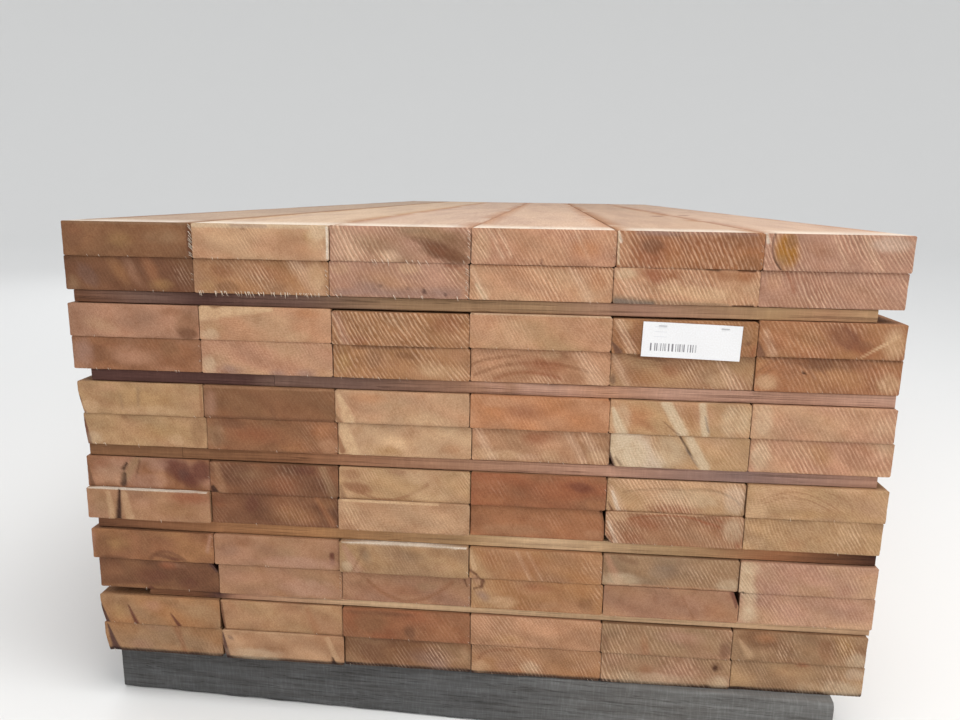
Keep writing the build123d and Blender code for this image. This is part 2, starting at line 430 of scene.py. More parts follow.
LOOKS = {key: Look(*row) for key, row in {
    (1, 1): ("olive", "olive", "umber", "olive", 60, -150, 0.10, 0.06, 0.07),
    (1, 2): ("pale", "peach", "tan", "honey", -90, -160, 0.10, 0.22, 0.35),
    (1, 3): ("mauve", "khaki", "mauve", "tan", 40, 150, 0.15, 0.80, 0.60),
    (1, 4): ("pink", "peach", "peach", "pale", -40, 170, 0.10, 0.65, 0.75),
    (1, 5): ("copper", "honey", "peach", "pale", -40, 30, 0.30, 0.85, 1.00),
    (1, 6): ("mauve", "mauve", "mauve", "rose", -120, 140, 0.20, 0.80, 0.75),
    (2, 1): ("rose", "pink", "brown", "rose", 120, 150, 0.12, 0.08, 0.10),
    (2, 2): ("peach", "pale", "pink", "pale", -20, 190, 0.25, 0.12, 0.25),
    (2, 3): ("honey", "tan", "honey", "tan", -170, -60, 0.35, 1.10, 0.75),
    (2, 4): ("peach", "straw", "peach", "tan", 20, -160, 0.25, 0.25, 0.32),
    (2, 5): ("honey", "brown", "tan", "straw", -40, -130, 0.45, 0.30, 0.45),
    (2, 6): ("copper", "honey", "copper", "honey", -50, -60, 0.35, 0.50, 0.48),
    (3, 1): ("straw", "tan", "straw", "tan", 150, -130, 0.10, 0.07, 0.07),
    (3, 2): ("olive", "brown", "brown", "olive", -60, 150, 0.15, 0.09, 0.10),
    (3, 3): ("pale", "peach", "pale", "cream", 140, -150, 0.12, 0.16, 0.12),
    (3, 4): ("orange", "peach", "tan", "peach", 10, -150, 0.15, 0.18, 0.28),
    (3, 5): ("straw", "peach", "straw", "pale", -50, -170, 0.30, 0.28, 0.28),
    (3, 6): ("pink", "pale", "pink", "pale", -110, 160, 0.15, 0.65, 0.60),
    (4, 1): ("brown", "mauve", "tan", "rose", 110, 110, 0.15, 0.05, 0.06),
    (4, 2): ("umber", "brown", "umber", "brown", -90, -150, 0.20, 0.20, 0.15),
    (4, 3): ("straw", "pale", "pale", "tan", -20, 150, 0.30, 0.22, 0.22),
    (4, 4): ("brown", "rust", "copper", "brown", -40, 190, 0.10, 0.12, 0.10),
    (4, 5): ("pale", "straw", "tan", "brown", -10, -50, 0.45, 0.58, 0.80),
    (4, 6): ("straw", "pale", "straw", "khaki", -60, -110, 0.40, 0.25, 0.28),
    (5, 1): ("brown", "honey", "umber", "olive", 70, -120, 0.15, 0.04, 0.04),
    (5, 2): ("tan", "rose", "tan", "rose", -50, 150, 0.12, 0.04, 0.04),
    (5, 3): ("khaki", "straw", "rose", "tan", -10, 130, 0.30, 0.20, 0.10),
    (5, 4): ("honey", "tan", "honey", "tan", 90, -90, 0.25, 0.34, 0.24),
    (5, 5): ("khaki", "moss", "rose", "tan", -60, 160, 0.12, 0.25, 0.05),
    (5, 6): ("mauve", "pale", "mauve", "pale", 60, -150, 0.15, 0.42, 0.36),
    (6, 1): ("honey", "khaki", "khaki", "honey", 60, -130, 0.20, 0.07, 0.12),
    (6, 2): ("tan", "straw", "tan", "pale", -90, 140, 0.12, 0.07, 0.05),
    (6, 3): ("brown", "rust", "olive", "khaki", 40, -150, 0.15, 0.12, 0.30),
    (6, 4): ("peach", "tan", "tan", "honey", -70, 130, 0.35, 0.32, 0.32),
    (6, 5): ("khaki", "rose", "khaki", "rose", 40, 150, 0.20, 0.42, 0.52),
    (6, 6): ("khaki", "olive", "khaki", "straw", -60, -100, 0.25, 0.30, 0.30),
}.items()}

# Marks placed on the front ends of each pair. A mark is the board (U upper, L lower, B both), tone,
# strength and shape. Strengths, and places across and up the pair, are in percent, widths in millimetres.
# Four or five numbers are a patch: place, half width, half height, and its lean in degrees if it leans.
# Six are a stroke: both ends, and the half width at each. Seven are a curved line through three places, and
# its half width. The tone "saw" only raises the cut marks, and "glow" raises them and lightens the wood.

# Some marks are painted light and shade, not the wood's own colour; each is named above its pair.
MARKS = {
    (1, 1): """
    U khaki 50 80 80 34 12, U yellow 30 45 74 22 14, U copper 50 10 86 14 8,
    U moss 50 5 99 95 99 1.5 2.5, U umber 95 97.8 92 97.8 53 3.5 3, L dusk 50 18 22 24 14 -50,
    L khaki 50 6 10 12 14, L honey 45 42 30 11 28 28, L rose 45 53 30 9 28 28,
    L copper 55 68 30 11 30 28, L saw 40 92 25 18 26, U umber 45 8 78 22 22, L yellow 40 75 10 20 10""",
    # Painted highlights: the ivory stroke along the upper board's top edge and the white one down its right
    # edge.
    (1, 2): """
    U ivory 60 0 98 100 98 4 3, U lilac 50 30 97.5 55 97 2 2, U olive 70 38.5 93 5 2.4,
    U tan 60 72 76 30 14 20, U yellow 50 86 84 10 9 20, U glow 60 90 97 98 55 5 5,
    U white 90 99.2 97 99.2 52 1.3 1, U saw 30 48 74 30 22, L brown 60 22 32 20 12 -12,
    L yellow 40 10 10 16 10, L copper 50 58 30 34 12 -10, L glow 90 76 46 92 3 9 12,
    L saw 35 48 22 26 20, U cream 50 92 82 16 22, L olive 45 25 10 20 10, L cream 50 92 28 16 24,
    U ivory 35 93 88 16 12, L olive 40 25 10 20 10""",
    (1, 3): """
    U glow 90 4 98 17 55 6 9, U khaki 85 76 88 48 12 -6, U moss 50 60 95 26 5,
    U umber 55 68 80 30 6 -14, U umber 90 80 66 34 13 -18, U rust 35 80 66 24 7 -22,
    U umber 60 92 56 20 7 -10, L rust 50 90 46 18 5 -12, L lilac 60 5 6 92 8 5 8, L lilac 50 30 16 24 8,
    L plum 80 68.5 10 3.5 5 20, L plum 60 57 14 2.5 2.5, L plum 70 84 6 2.5 3.5, L plum 50 37 16 4 2.5,
    B saw 25 20 55 26 60 8, L saw 50 88 28 18 22, U khaki 50 40 70 36 18, U umber 70 91 60 22 8 -10,
    L umber 45 92 48 14 4, U glow 60 14 60 32 12, U glow 80 41 58 20 10, U olive 45 92 75 18 24,
    L cream 40 58 42 18 9, U glow 70 12 72 30 26, U glow 80 41 58 22 11, U umber 40 82 72 34 22,
    L cream 30 8 40 18 9""",
    (1, 4): """
    U glow 100 13 98 22 60 2.5 2.5, U glow 100 19 98 28 62 2.2 2.2, U orange 70 80 74 24 15,
    U copper 40 36 72 14 14, U rust 80 25 70 2.2 1.7, U rust 70 29 62 2.2 1.6,
    U maroon 70 49.2 58.5 49.2 52.5 1.3 1.3, U rust 45 55 98 49 88 0.8 1.2, U glow 40 72 98 82 60 3 3,
    L glow 100 2 42 11 4 3 6, L ivory 60 5 22 11 3 2 4, L glow 80 71 48 84 6 5 6,
    L orange 50 90 30 14 18, L copper 60 5 49.5 98 48.5 2 2.5, L saw 50 50 25 26 26,
    U glow 60 6 75 16 26, L cream 30 8 8 16 10, U cream 35 7 75 16 24""",
    (1, 5): """
    U lilac 60 20 98.5 95 97.5 3.5 2, U rust 90 25 72 25 24, U umber 75 25 80 20 13,
    U peach 70 5.5 75 10 28, U umber 40 48 80 12 14, U honey 50 70 84 40 12, L rust 85 28 44 28 9,
    L rust 85 30 36 17 10, L copper 80 75 42 50 11 -5, L umber 70 45 49.7 100 49 0.7 1.4,
    L bark 80 64 49.5 72 49.2 1.2 1.6, L bark 80 85 49 96 48.5 1.2 1.6, L glow 90 3 42 16 12 4 12,
    L cream 60 62 18 60 10 -4, L moss 90 2 4.5 28 3 7 4, L lilac 50 4 3 22 1 4 2,
    L moss 70 28 3 80 1 4 2, L bark 90 84 0 97 0 1.5 2, U white 95 0.4 100 2.2 86 0.8 2.2,
    L saw 60 50 25 60 30, L grey 80 2 3 28 1.5 4 2.5, U lilac 55 14 98 42 96 4 3,
    U ivory 70 0.5 98 1.5 55 1 1.5, U saw 30 60 75 40 26, U rust 55 62 80 60 16, U amber 45 60 66 80 22,
    U amber 45 90 62 24 16, U umber 30 82 88 34 12, L cream 45 8 40 16 10, L amber 55 41 42 20 9,
    L amber 50 91 42 18 9, U umber 40 92 60 20 12, L ivory 40 8 42 18 9, L rust 40 41 42 18 9,
    L rust 35 92 42 16 9""",
    (1, 6): """
    U resin 100 15 77.5 18 27 10, U olive 55 17.5 90 9 12, U khaki 50 12.5 64 9 9,
    U bark 60 6.6 100 5.5 74 12 52 1, U mauve 60 4 70 6 20, U glow 70 66 98 78 52 4 5,
    U glow 50 46 95 56 60 3 3, U copper 35 36 80 22 12 -20, U white 95 0.4 100 1.8 88 0.8 2.2,
    L peach 50 10 35 12 16, L rust 50 16.5 50 21 36 24 22 3, L rust 30 40 30 26 16 -30,
    B saw 30 70 55 60 60, U white 28 84 88 34 12, L rust 30 25 42 18 10""",
    (2, 1): """
    U pale 50 25 68 30 12 -15, U olive 60 92 72 22 24, U brown 40 80 90 20 8, L pink 60 45 20 30 14,
    L olive 65 76 36 18 14 -20, L umber 40 20 25 14 20, L brown 50 30 42 36 6, U umber 50 91 58 18 10,
    L lilac 45 8 25 18 24, L blush 20 8 25 18 24, U umber 35 92 58 18 10""",
    (2, 2): """
    U straw 50 10 68 20 14, U cream 85 0 90 55 97 12 3, U olive 90 13 100 11 3.5,
    U orange 60 83 93 22 9, L ivory 40 6 12 12 16, L lilac 60 22 5 24 10, L brown 40 17 1 10 6,
    L lilac 60 58 2 14 8, L lilac 55 80 3 18 9, U cream 35 75 58 22 10, U ivory 35 8 58 18 10""",
    (2, 3): """
    U mauve 70 3 95 10 55 6 7, U khaki 50 45 86 26 10 -20, U rust 45 20 58 18 8, U rust 45 85 85 26 16,
    L yellow 60 8 25 12 20, L umber 60 15 48 75 48 3.5 2, L umber 35 55 36 24 8, L cream 35 72 18 26 12,
    L olive 45 30 30 14 18, L umber 30 8 42 16 9, L cream 40 83 12 36 12, L peach 40 92 40 16 11""",
    # Painted highlight: the ivory stroke along the upper board's top edge.
    (2, 4): """
    U ivory 60 0 99.5 100 99.5 1.2 1.2, L brown 70 0 22 10 32 35 40 1.8,
    L brown 70 3 10 42 30 85 20 2.2, L rust 70 18 5 40 16 65 8 2.4, L rust 65 54 26 40 14 -8,
    L glow 95 78 48 92 3 8 12, L saw 80 88 22 18 26, L saw 80 52 6 44 6, L brown 55 62 42 28 8 -8,
    U cream 35 30 72 36 26, L brown 45 30 10 34 10, L brown 45 75 10 20 10, L cream 35 58 42 18 9""",
    (2, 5): """
    U plum 70 0 66 5 52 1 6, U glow 95 4 98 14 54 5 6, U brown 60 17 75 8 26, U khaki 50 90 78 14 14,
    U umber 60 94 70 5 4, U rust 60 99 66 97 52 2 2, L rust 65 20 46 60 46 3 3,
    L umber 50 12 47 38 40 1 2, L rust 50 42 26 16 12 -20, L glow 80 2 44 12 5 4 6,
    L glow 80 74 46 88 5 4 9, L saw 60 58 24 20 18, L plum 50 2 10 5 10, L khaki 50 70 20 16 14,
    U cream 35 8 92 14 9, L amber 45 25 14 32 14, L cream 50 77 14 22 14""",
    (2, 6): """
    U plum 60 0 70 3 52 2 6, U glow 70 5 84 11 54 4 6, U maroon 60 60 78 30 17 -30,
    U rust 60 72 62 18 10 -20, U cream 85 71 53 95 84 0.9 2.2, U tan 60 92 90 20 14,
    L umber 50 5 49 100 49 2 2.5, L brown 70 6 22 24 44 42 20 2, L brown 60 2 28 26 52 50 24 1.8,
    L bark 80 33.5 28 4 2 -20, L rust 40 72 40 26 10 -12, L saw 40 80 14 30 14,
    U brown 60 52 86 30 14 -30, U umber 45 72 68 14 10, L brown 45 22 30 20 14, U cream 50 92 72 18 24,
    L cream 55 8 14 18 14, L umber 60 44 40 24 11, L brown 45 68 40 34 10, L cream 55 92 16 18 18,
    L umber 45 50 42 66 9""",
    (3, 1): """
    U yellow 35 55 76 60 20, U pink 35 25 92 24 9, U moss 50 49 90 48 64 3 2, U moss 35 34 80 35 60 2 2,
    U brown 50 98.5 99 98.5 52 2 2, U umber 90 1 78 4 51 0.6 3, L maroon 85 0.5 42 3 2 0.8 4.5,
    L olive 50 33.5 45 6 4, L yellow 35 60 22 50 16, U cream 50 8 62 18 14, U cream 30 58 58 60 9,
    L cream 35 75 12 18 10, L olive 45 93 25 14 24, L ivory 35 8 10 16 12""",
    # Painted shade: the soft umber stroke along the foot of the upper board, at the seam.
    (3, 2): """
    U tan 60 0 98.5 100 98.5 1.4 1.4, U mauve 45 5 72 12 28, U umber 40 53 62 6 12 20,
    U umber 50 0 51 100 51 3 3, L khaki 75 6 24 16 24, L pale 40 9 30 8 8 30, L rust 50 40 26 50 16,
    L honey 40 68 6 24 6, L saw 35 82 22 34 26, L orange 45 88 34 16 14, L umber 35 8 20 8 20,
    L umber 35 16 42 30 10, L orange 30 66 10 30 12, L peach 50 93 12 18 14, L umber 40 22 42 24 9""",
    (3, 3): """
    U cream 80 3 92 10 55 3 9, U olive 70 0 62 3.5 50 2 4, U orange 50 26 90 30 9,
    L cream 85 4 48 11 5 6 10, L brown 80 0 30 3 6 1.5 5, L yellow 50 36 8 30 9, L saw 50 35 10 32 8,
    L orange 30 85 15 20 8, L tan 45 60 36 30 10, U cream 35 66 60 36 12, L cream 35 25 12 20 10,
    L cream 30 66 26 26 22""",
    (3, 4): """
    U rust 50 40 78 34 14, U peach 50 20 90 30 9, U peach 40 92 88 20 12, L rust 70 47 38 24 12,
    L cream 50 24 10 30 8, L glow 90 4 46 14 5 5 8, L glow 60 40 7 20 6, L glow 70 70 44 82 5 5 6,
    L glow 70 82 46 94 5 6 7, L cream 60 2 49.5 98 49.5 0.9 0.9, L copper 45 60 14 18 10,
    L cream 35 58 12 18 10, L cream 40 92 12 18 12, L cream 40 8 10 18 11, L rust 30 58 42 18 8""",
    (3, 5): """
    U ivory 80 2 88 9 52 2 9, U orange 70 20 76 24 22, U copper 50 28 62 22 6 -30,
    U ivory 85 40 98 53 54 7 8, U umber 50 39 70 50 52 0.7 1.3, U honey 70 58 76 9 24 14,
    U ivory 80 65.5 98 69 54 5 6, U grey 70 68 80 71 58 0.8 1.3, U saw 80 88 75 20 26,
    L white 45 10 50 28 0 24 24, L ivory 80 0 30 15 20 26 26, L bark 70 50 49 58.5 22 1.4 0.9,
    L grey 60 55 30 64 6 1.2 1.2, L ivory 80 57 46 69 4 6 8, L saw 60 82 25 26 26,
    L saw 50 36 30 12 24 30, L plum 90 0 20 1.8 0 1 5, L moss 80 4 14 8.5 3 1.4 2,
    U ivory 35 8 72 16 24, U ivory 45 90 75 24 26, L ivory 45 44 26 26 26""",
    (3, 6): """
    B pale 50 8 55 20 60 8, B saw 50 9 50 20 60 8, L honey 70 50 30 16 22 28, U pale 40 60 80 40 14,
    B glow 50 92 60 16 50, U ivory 35 8 75 16 26, U brown 30 75 92 20 9, L ivory 45 8 25 16 26,
    L brown 35 75 26 22 24""",
    # Painted highlight: the white stroke along the lower board's top edge.
    (4, 1): """
    U pink 60 8 60 18 10, U umber 85 0.8 86 3.3 51 0.7 4, U khaki 85 42 100 31 66 7 6,
    U pink 60 25 62 8 12 20, U umber 85 44 96 40 68 1.6 1, U bark 95 33 90 29.5 80 1.2 2.4,
    U bark 100 30 72 28.5 56 3 5, U maroon 85 77 80 40 20 -36, U plum 50 80 74 14 10 -36,
    U peach 50 60 66 12 18, U rust 40 13 88 16 9, L white 95 1 49.6 98 49.6 0.8 0.8,
    L khaki 60 12 24 22 22, L cream 50 31 42 34 5 5 7, L cream 50 18 42 20 5 4 5,
    L bark 95 27 47 24.5 0 1.3 4.5, L rust 40 82 36 32 12, L honey 40 70 18 40 14,
    U maroon 65 84 66 13 12, U blush 40 50 62 34 14, U maroon 85 93 82 18 20, L rust 45 84 42 40 10,
    U pale 35 20 72 34 24, U blush 35 58 88 18 12, L rust 40 84 42 40 9""",
    (4, 2): """
    U tan 60 5 96 9 52 5 8, U maroon 45 75 92 22 10, U rust 35 58 66 26 18, U khaki 60 88 98 96 55 5 7,
    U saw 55 90 75 16 30, U saw 40 60 75 34 26, U bark 80 1.5 58 3 51 3 5, U khaki 35 32 84 30 12,
    L rust 50 7 36 14 12, L maroon 40 32 34 12 18 -20, L honey 50 65 18 40 16, L saw 45 64 24 34 26,
    L copper 60 84 46 96 6 4 5, U umber 40 25 92 20 9, L umber 45 8 40 18 11, L honey 35 92 40 18 11,
    U umber 35 18 90 34 11, L umber 35 8 40 18 11""",
    # Painted highlight: the cream stroke along the lower board's top edge, at the seam.
    (4, 3): """
    U brown 80 14 68 28 10 -10, U brown 60 18 60 42 52 68 78 2.2, U rose 50 47 96 22 6,
    U saw 70 95 80 14 20, U saw 50 16 90 22 10, L cream 95 3 48.5 76 48.5 2.2 1.6,
    L cream 40 10 30 14 22 20, L saw 50 84 26 24 26, L saw 30 8 25 12 22, U umber 45 1 70 3 52 2 5,
    U straw 45 60 70 20 9, U brown 50 8 90 18 10, U cream 45 70 60 34 14, U cream 35 93 88 16 12,
    U cream 40 58 88 22 11""",
    (4, 4): """
    U rust 95 76 84 42 15 -8, U maroon 60 82 84 24 9 -8, U rust 50 75 70 26 9, U saw 55 55 82 22 18,
    U saw 30 20 75 14 24, L brown 90 98.5 49 99.5 28 3.5 1.5, L bark 70 97.5 47 3 2.5,
    L tan 60 30 12 60 10, L saw 20 60 30 30 14, U orange 35 17 60 34 12, U orange 35 92 58 18 9,
    L peach 35 92 10 16 10""",
    (4, 5): """
    U khaki 80 12 80 30 86 55 87 1.2, U khaki 90 60 88 82 86 97 68 1.4, U rust 65 48 57 40 9,
    U saw 90 45 62 40 14, U glow 100 3 86 11 52 4 7, U white 50 4 80 9 52 2 3,
    U umber 80 1.2 64 4.5 51.5 0.7 2, L cream 50 2 49.5 70 49.5 1.2 1.2,
    L rust 85 15 39 48 48 74 38 1.3, L rust 80 70 40 88 28 97 4 1.5, L rust 60 80 46 92 32 100 16 1.2,
    L rust 50 20 10 22 12, L tan 60 90 34 12 14 -40, L glow 100 2 42 10 2 4 7, L white 50 2 34 8 3 2 3,
    L plum 90 0 12 2.5 0 1 5, U ivory 35 62 74 60 16, L rust 50 30 34 34 10, U white 28 93 75 18 26,
    L brown 45 16 10 34 10, L cream 45 9 42 20 9, L ivory 45 93 28 18 24""",
    (4, 6): """
    U brown 45 12 72 35 84 60 66 1, U brown 40 2 62 33 92 70 62 1, U brown 35 55 95 72 80 76 60 1,
    U rose 35 85 75 26 22, U khaki 50 30 62 40 8, L cream 30 76 30 22 20 -60, L saw 45 75 25 26 26,
    L copper 35 38 12 16 12, U yellow 35 45 60 50 8, U cream 55 8 62 18 16, L khaki 45 83 40 36 11,
    U cream 30 8 88 18 12, L cream 35 8 10 18 12""",
    (5, 1): """
    U yellow 40 18 78 30 16, U mauve 55 1 80 5 26, U olive 50 44 80 12 26, U umber 65 14 52 26 4,
    U umber 75 62 57 30 5 -10, U maroon 55 68 54 12 4, U mauve 60 98 98 95 70 2 3,
    L rose 55 62 44 22 5 -8, L maroon 40 45 22 30 14, L umber 50 85 22 26 16, L honey 45 30 3 60 5,
    L maroon 85 42 1 6 4, L plum 95 95.5 49 98.5 36 6 1.5, U umber 60 48 54 60 66 76 53 3,
    L brown 40 12 30 20 16, U umber 60 8 66 20 28, U umber 35 25 62 18 20, U brown 35 93 58 16 9,
    L umber 35 14 12 34 12, L rust 45 58 42 16 8, L maroon 40 75 12 18 12, U umber 35 18 90 34 12,
    L umber 30 66 12 34 12, L rust 35 58 43 16 7""",
    (5, 2): """
    U maroon 85 94.5 76 94.5 62 4.2 3.6, U khaki 55 60 75 26 16, U pink 50 20 70 30 16,
    L pink 45 25 30 40 12, L khaki 55 80 24 30 18, U tan 45 45 92 40 8, U dusk 30 12 78 20 14,
    U brown 40 16 90 34 11, U blush 50 66 60 70 12, L blush 50 74 16 56 18, U brown 35 25 90 20 11,
    U blush 40 92 60 16 12""",
    # Painted highlight: the white stroke along the upper board's top edge.
    (5, 3): """
    U white 90 2 99.2 98 99.2 1.1 1.1, U mauve 65 4 92 14 55 4 9, U moss 65 20 80 10 20 20,
    U moss 40 55 82 36 10, L brown 65 20 36 52 4 86 40 2.8, L khaki 60 66 30 22 9 10,
    L umber 80 95 48 97.5 34 2 1, L copper 35 40 20 50 12, U ivory 40 6 60 10 10,
    U olive 50 10 52 20 92 1.2 2, U pale 40 80 66 22 10, U olive 40 25 60 18 11, U olive 30 75 90 18 10,
    L peach 40 8 40 18 10""",
    (5, 4): """
    U straw 85 0 96 9 54 6 16, U cream 60 0.5 94 4 66 2.5 4, L straw 70 4 46 12 2 16 28,
    U glow 55 36 96 47 52 2.5 2.5, U glow 45 44 96 56 52 2.5 2.5, U saw 70 90 75 18 26,
    U copper 40 44 76 30 18, B rose 75 4.5 48 8 9, B lilac 60 9 22 13 8 -35,
    B umber 85 0 64 5.5 57 2.4 1.6, B umber 70 5.5 57 9 46 1.6 2.8, B umber 95 9 46 8 37 3.4 2.6,
    B umber 80 8 37 2 33 2.2 1.3, L olive 50 88 16 14 12, L rust 45 50 40 26 8, L saw 60 95 30 12 20,
    L tan 45 62 10 40 8, U amber 35 18 86 30 14, L cream 45 25 12 22 12""",
    (5, 5): """
    U umber 35 12 97 24 90 4 5, U pink 60 3 96 12 56 4 7, U umber 60 4 66 7 54 1 4,
    U peach 60 5 52 98 51 2.6 2.6, U saw 30 70 75 40 20, L copper 40 84 18 20 18,
    L maroon 75 96.2 49 98.5 25 6.5 1, L brown 45 58 40 68 4 1.4 1.4, U grey 35 45 76 24 14,
    U ivory 50 14 60 34 14, U ivory 45 93 60 18 12""",
    (5, 6): """
    U straw 80 5 75 16 30, L pale 60 6 25 15 28, B bark 80 3 50.5 4 2, B tan 40 55 55 36 16,
    B ivory 60 6 60 14 46 8, L ivory 45 8 14 18 16, U ivory 30 8 88 16 12""",
    (6, 1): """
    U plum 95 0 84 4.5 50 0.8 4.5, U maroon 90 23.5 82 29.5 51 0.8 4, U maroon 85 59 72 65.5 51 0.8 3.4,
    U mauve 45 44 84 18 12, U yellow 40 15 70 16 16, L plum 95 2.5 46 8.5 2 0.8 7,
    L brown 60 62 48 68 4 6 3, L mauve 40 30 14 22 10, L rose 40 45 44 30 6,
    L shade 95 0 2.2 100 2.2 2.9 2.9, U straw 45 84 78 30 14, L pale 50 92 12 18 12""",
    (6, 2): """
    U umber 90 0.5 97 2 51 1.5 4, U copper 45 72 92 80 52 5 7, L cream 60 2 49 75 49 1 1,
    L plum 90 0.5 44 3.5 2 1 5, L dusk 60 7 37 7 4 -35, L cream 40 87 45 96 2 4 5,
    L bark 80 90.5 12 92 0 0.8 4, L shade 95 0 2.2 100 2.2 2.9 2.9, U brown 30 58 92 18 9,
    L ivory 40 26 10 50 12""",
    (6, 3): """
    U umber 60 30 94 60 5, U umber 75 53 64 10 15 20, U copper 80 80 68 32 20, L umber 55 50 47 90 3,
    L umber 50 22 22 26 18, L lilac 35 68 22 40 16, L pale 40 95 30 8 16, L saw 90 45 20 16 24,
    L saw 70 72 25 22 22, L shade 95 0 2.2 100 2.2 2.9 2.9, U olive 65 20 76 34 22,
    L umber 45 25 40 44 12, L lilac 45 75 10 18 10""",
    (6, 4): """
    U brown 50 7 52 16 60 1 1.4, L brown 80 6 26 14 40 32 44 2.4, L rose 70 27 16 20 13,
    L ivory 40 46 15 18 12, L saw 70 47 15 20 14, L saw 40 85 20 16 20, L dusk 35 40 2 70 4,
    L shade 95 0 2.2 100 2.2 2.9 2.9, U yellow 40 30 62 30 10, U tan 45 75 66 26 10,
    L honey 45 80 34 26 10, L cream 40 8 12 18 12""",
    (6, 5): """
    U maroon 50 95.5 66 11 16, U copper 50 34 66 8 24 12, U saw 50 15 70 20 24,
    L bark 95 88.5 34 4.6 5.6, L umber 50 90 38 12 10, L brown 60 35 22 12 14, L saw 80 52 22 30 26,
    L cream 30 92 8 16 8, L shade 95 0 2.2 100 2.2 2.9 2.9, U umber 45 2 80 4 60 2 6,
    U mauve 50 60 84 40 12, L mauve 45 60 20 40 16, L saw 60 22 14 16 14, U olive 35 25 90 18 11,
    L ivory 35 40 10 80 12, L ivory 45 92 12 18 12""",
    (6, 6): """
    U cream 40 5 85 14 60 2 6, U yellow 60 84 82 22 16 -60, U brown 40 70 74 14 24 20,
    U saw 70 84 75 22 26, U saw 60 45 75 24 26, B rust 70 54 48 13 5, L saw 50 75 25 30 26,
    L shade 95 0 2.2 100 2.2 2.9 2.9, U orange 40 25 90 18 10, U ivory 50 93 60 18 14,
    L ivory 50 84 12 36 14, L white 22 93 38 16 12, L olive 30 50 42 30 9, L ivory 25 58 10 18 11""",
}

# Fringes of torn fibres on the front ends: by tier, column, board and edge, the fibres for each cut mark and
# their length in millimetres. The other right and bottom edges have a few stray fibres.

FRINGES = {
    (1, 1, "U", "right"): (6.0, 10.0),
    (1, 1, "L", "right"): (0.8, 5.0),
    (1, 2, "L", "bottom"): (1.2, 7.0),
    (1, 2, "L", "right"): (1.5, 7.0),
    (1, 3, "U", "right"): (1.8, 7.5),
    (1, 3, "L", "right"): (1.8, 7.5),
    (1, 3, "L", "bottom"): (0.2, 8.0),
    (1, 3, "U", "bottom"): (0.12, 9.0),
    (1, 4, "U", "right"): (0.8, 5.0),
    (1, 5, "U", "right"): (0.8, 5.0),
    (2, 1, "L", "right"): (0.5, 5.0),
    (2, 1, "L", "bottom"): (0.4, 4.0),
    (2, 3, "U", "right"): (0.8, 4.0),
    (2, 3, "L", "bottom"): (0.4, 5.0),
    (2, 3, "L", "right"): (0.9, 4.0),
    (3, 1, "L", "bottom"): (0.15, 6.0),
    (3, 2, "L", "right"): (0.8, 4.0),
    (3, 4, "U", "right"): (0.8, 4.0),
    (4, 2, "L", "right"): (0.5, 4.0),
    (5, 2, "L", "right"): (0.8, 4.0),
    (5, 3, "L", "right"): (0.6, 4.0),
    (6, 1, "L", "bottom"): (0.05, 8.0),
}
STRAY_FIBRES = (0.06, 4.0)

# The two boards of a pair, and the kinds of face in a layer's mesh
UPPER, LOWER = 0, 1
BOARD_LETTERS = "UL"
END, FACE, FUZZ = 0, 1, 2
TIERS, COLUMNS = 6, 6

# Tones whose marks have no clear edge, tones that sink the wood by so many millimetres and smooth the cut
# marks away, and tones that halve the cut marks
SOFT_TONES = ("saw", "amber", "glow", "lilac", "moss", "rose", "copper", "honey", "tan", "pale", "pink",
              "mauve", "rust", "khaki", "straw", "yellow", "orange")
DARK_TONES = {"bark": 2.5, "plum": 1.0, "maroon": 0.4}
DULL_TONES = ("rust", "umber", "lilac", "moss", "grey", "khaki", "resin", "orange")

# Boards whose upper face is paler, as dust and a painted highlight towards the front, by tier, column and
# level, and pairs whose right edges are torn furthest
PALE_TOPS_PAINTED_LIT = ((4, 1, LOWER), (5, 3, UPPER)) + tuple((1, column, UPPER) for column in range(1, COLUMNS + 1))
BURRED = ((1, 1), (1, 2), (1, 4), (1, 5), (2, 3), (2, 4), (3, 2), (3, 4), (5, 2), (6, 4))

# Where a mark begins to fade and where it ends, as shares of its size
PATCH_FADE, SOFT_PATCH_FADE = (0.45, 1.2), (0.15, 1.35)
STROKE_FADE, SOFT_STROKE_FADE = (0.55, 1.35), (0.05, 1.75)

# Lengths in millimetres
BOARD_WIDE, BOARD_TALL, PAIR_TALL = 202.0, 50.8, 101.6
SAME_PLANE = 0.05

# The cut marks' lean in degrees, spacing and depth, and a pair that was cut otherwise, with its spacing, its
# bend and where along the cut that is
CUT_LEAN, CUT_PITCH, CUT_DEPTH = 60.0, 4.95, 0.5
OTHER_CUTS = {(2, 3): (5.8, -0.0012, -30.0)}

# An end's points: spacing of the rows, and parts of each row
FRONT_GRID, BACK_GRID = (1.4, 20), (3.0, 8)

# The long faces' points: the first ring's distance from each end, those of the next ones, the spacing round
# the board, and the count of rings on the boards whose faces show
RIM = 6.0
SEEN_NEXT, HIDDEN_NEXT = (26.0, 60.0), 80.0
SEEN_STEP, HIDDEN_STEP = 26.0, 60.0
SEEN_ROWS = 54

# Lower boards get painted shade below the seam with the upper board, and painted light at their foot
SEAM_DEPTH, SEAM_SHADE = 15.0, 0.06
FOOT_DEPTH, FOOT_LIGHT = 10.0, 0.07

# Shifts that give each board and strip its own grain and its own cut marks
GRAIN_SHIFT, CUT_SHIFT, STRIP_SHIFT = 977.0, 310.0, 311.0


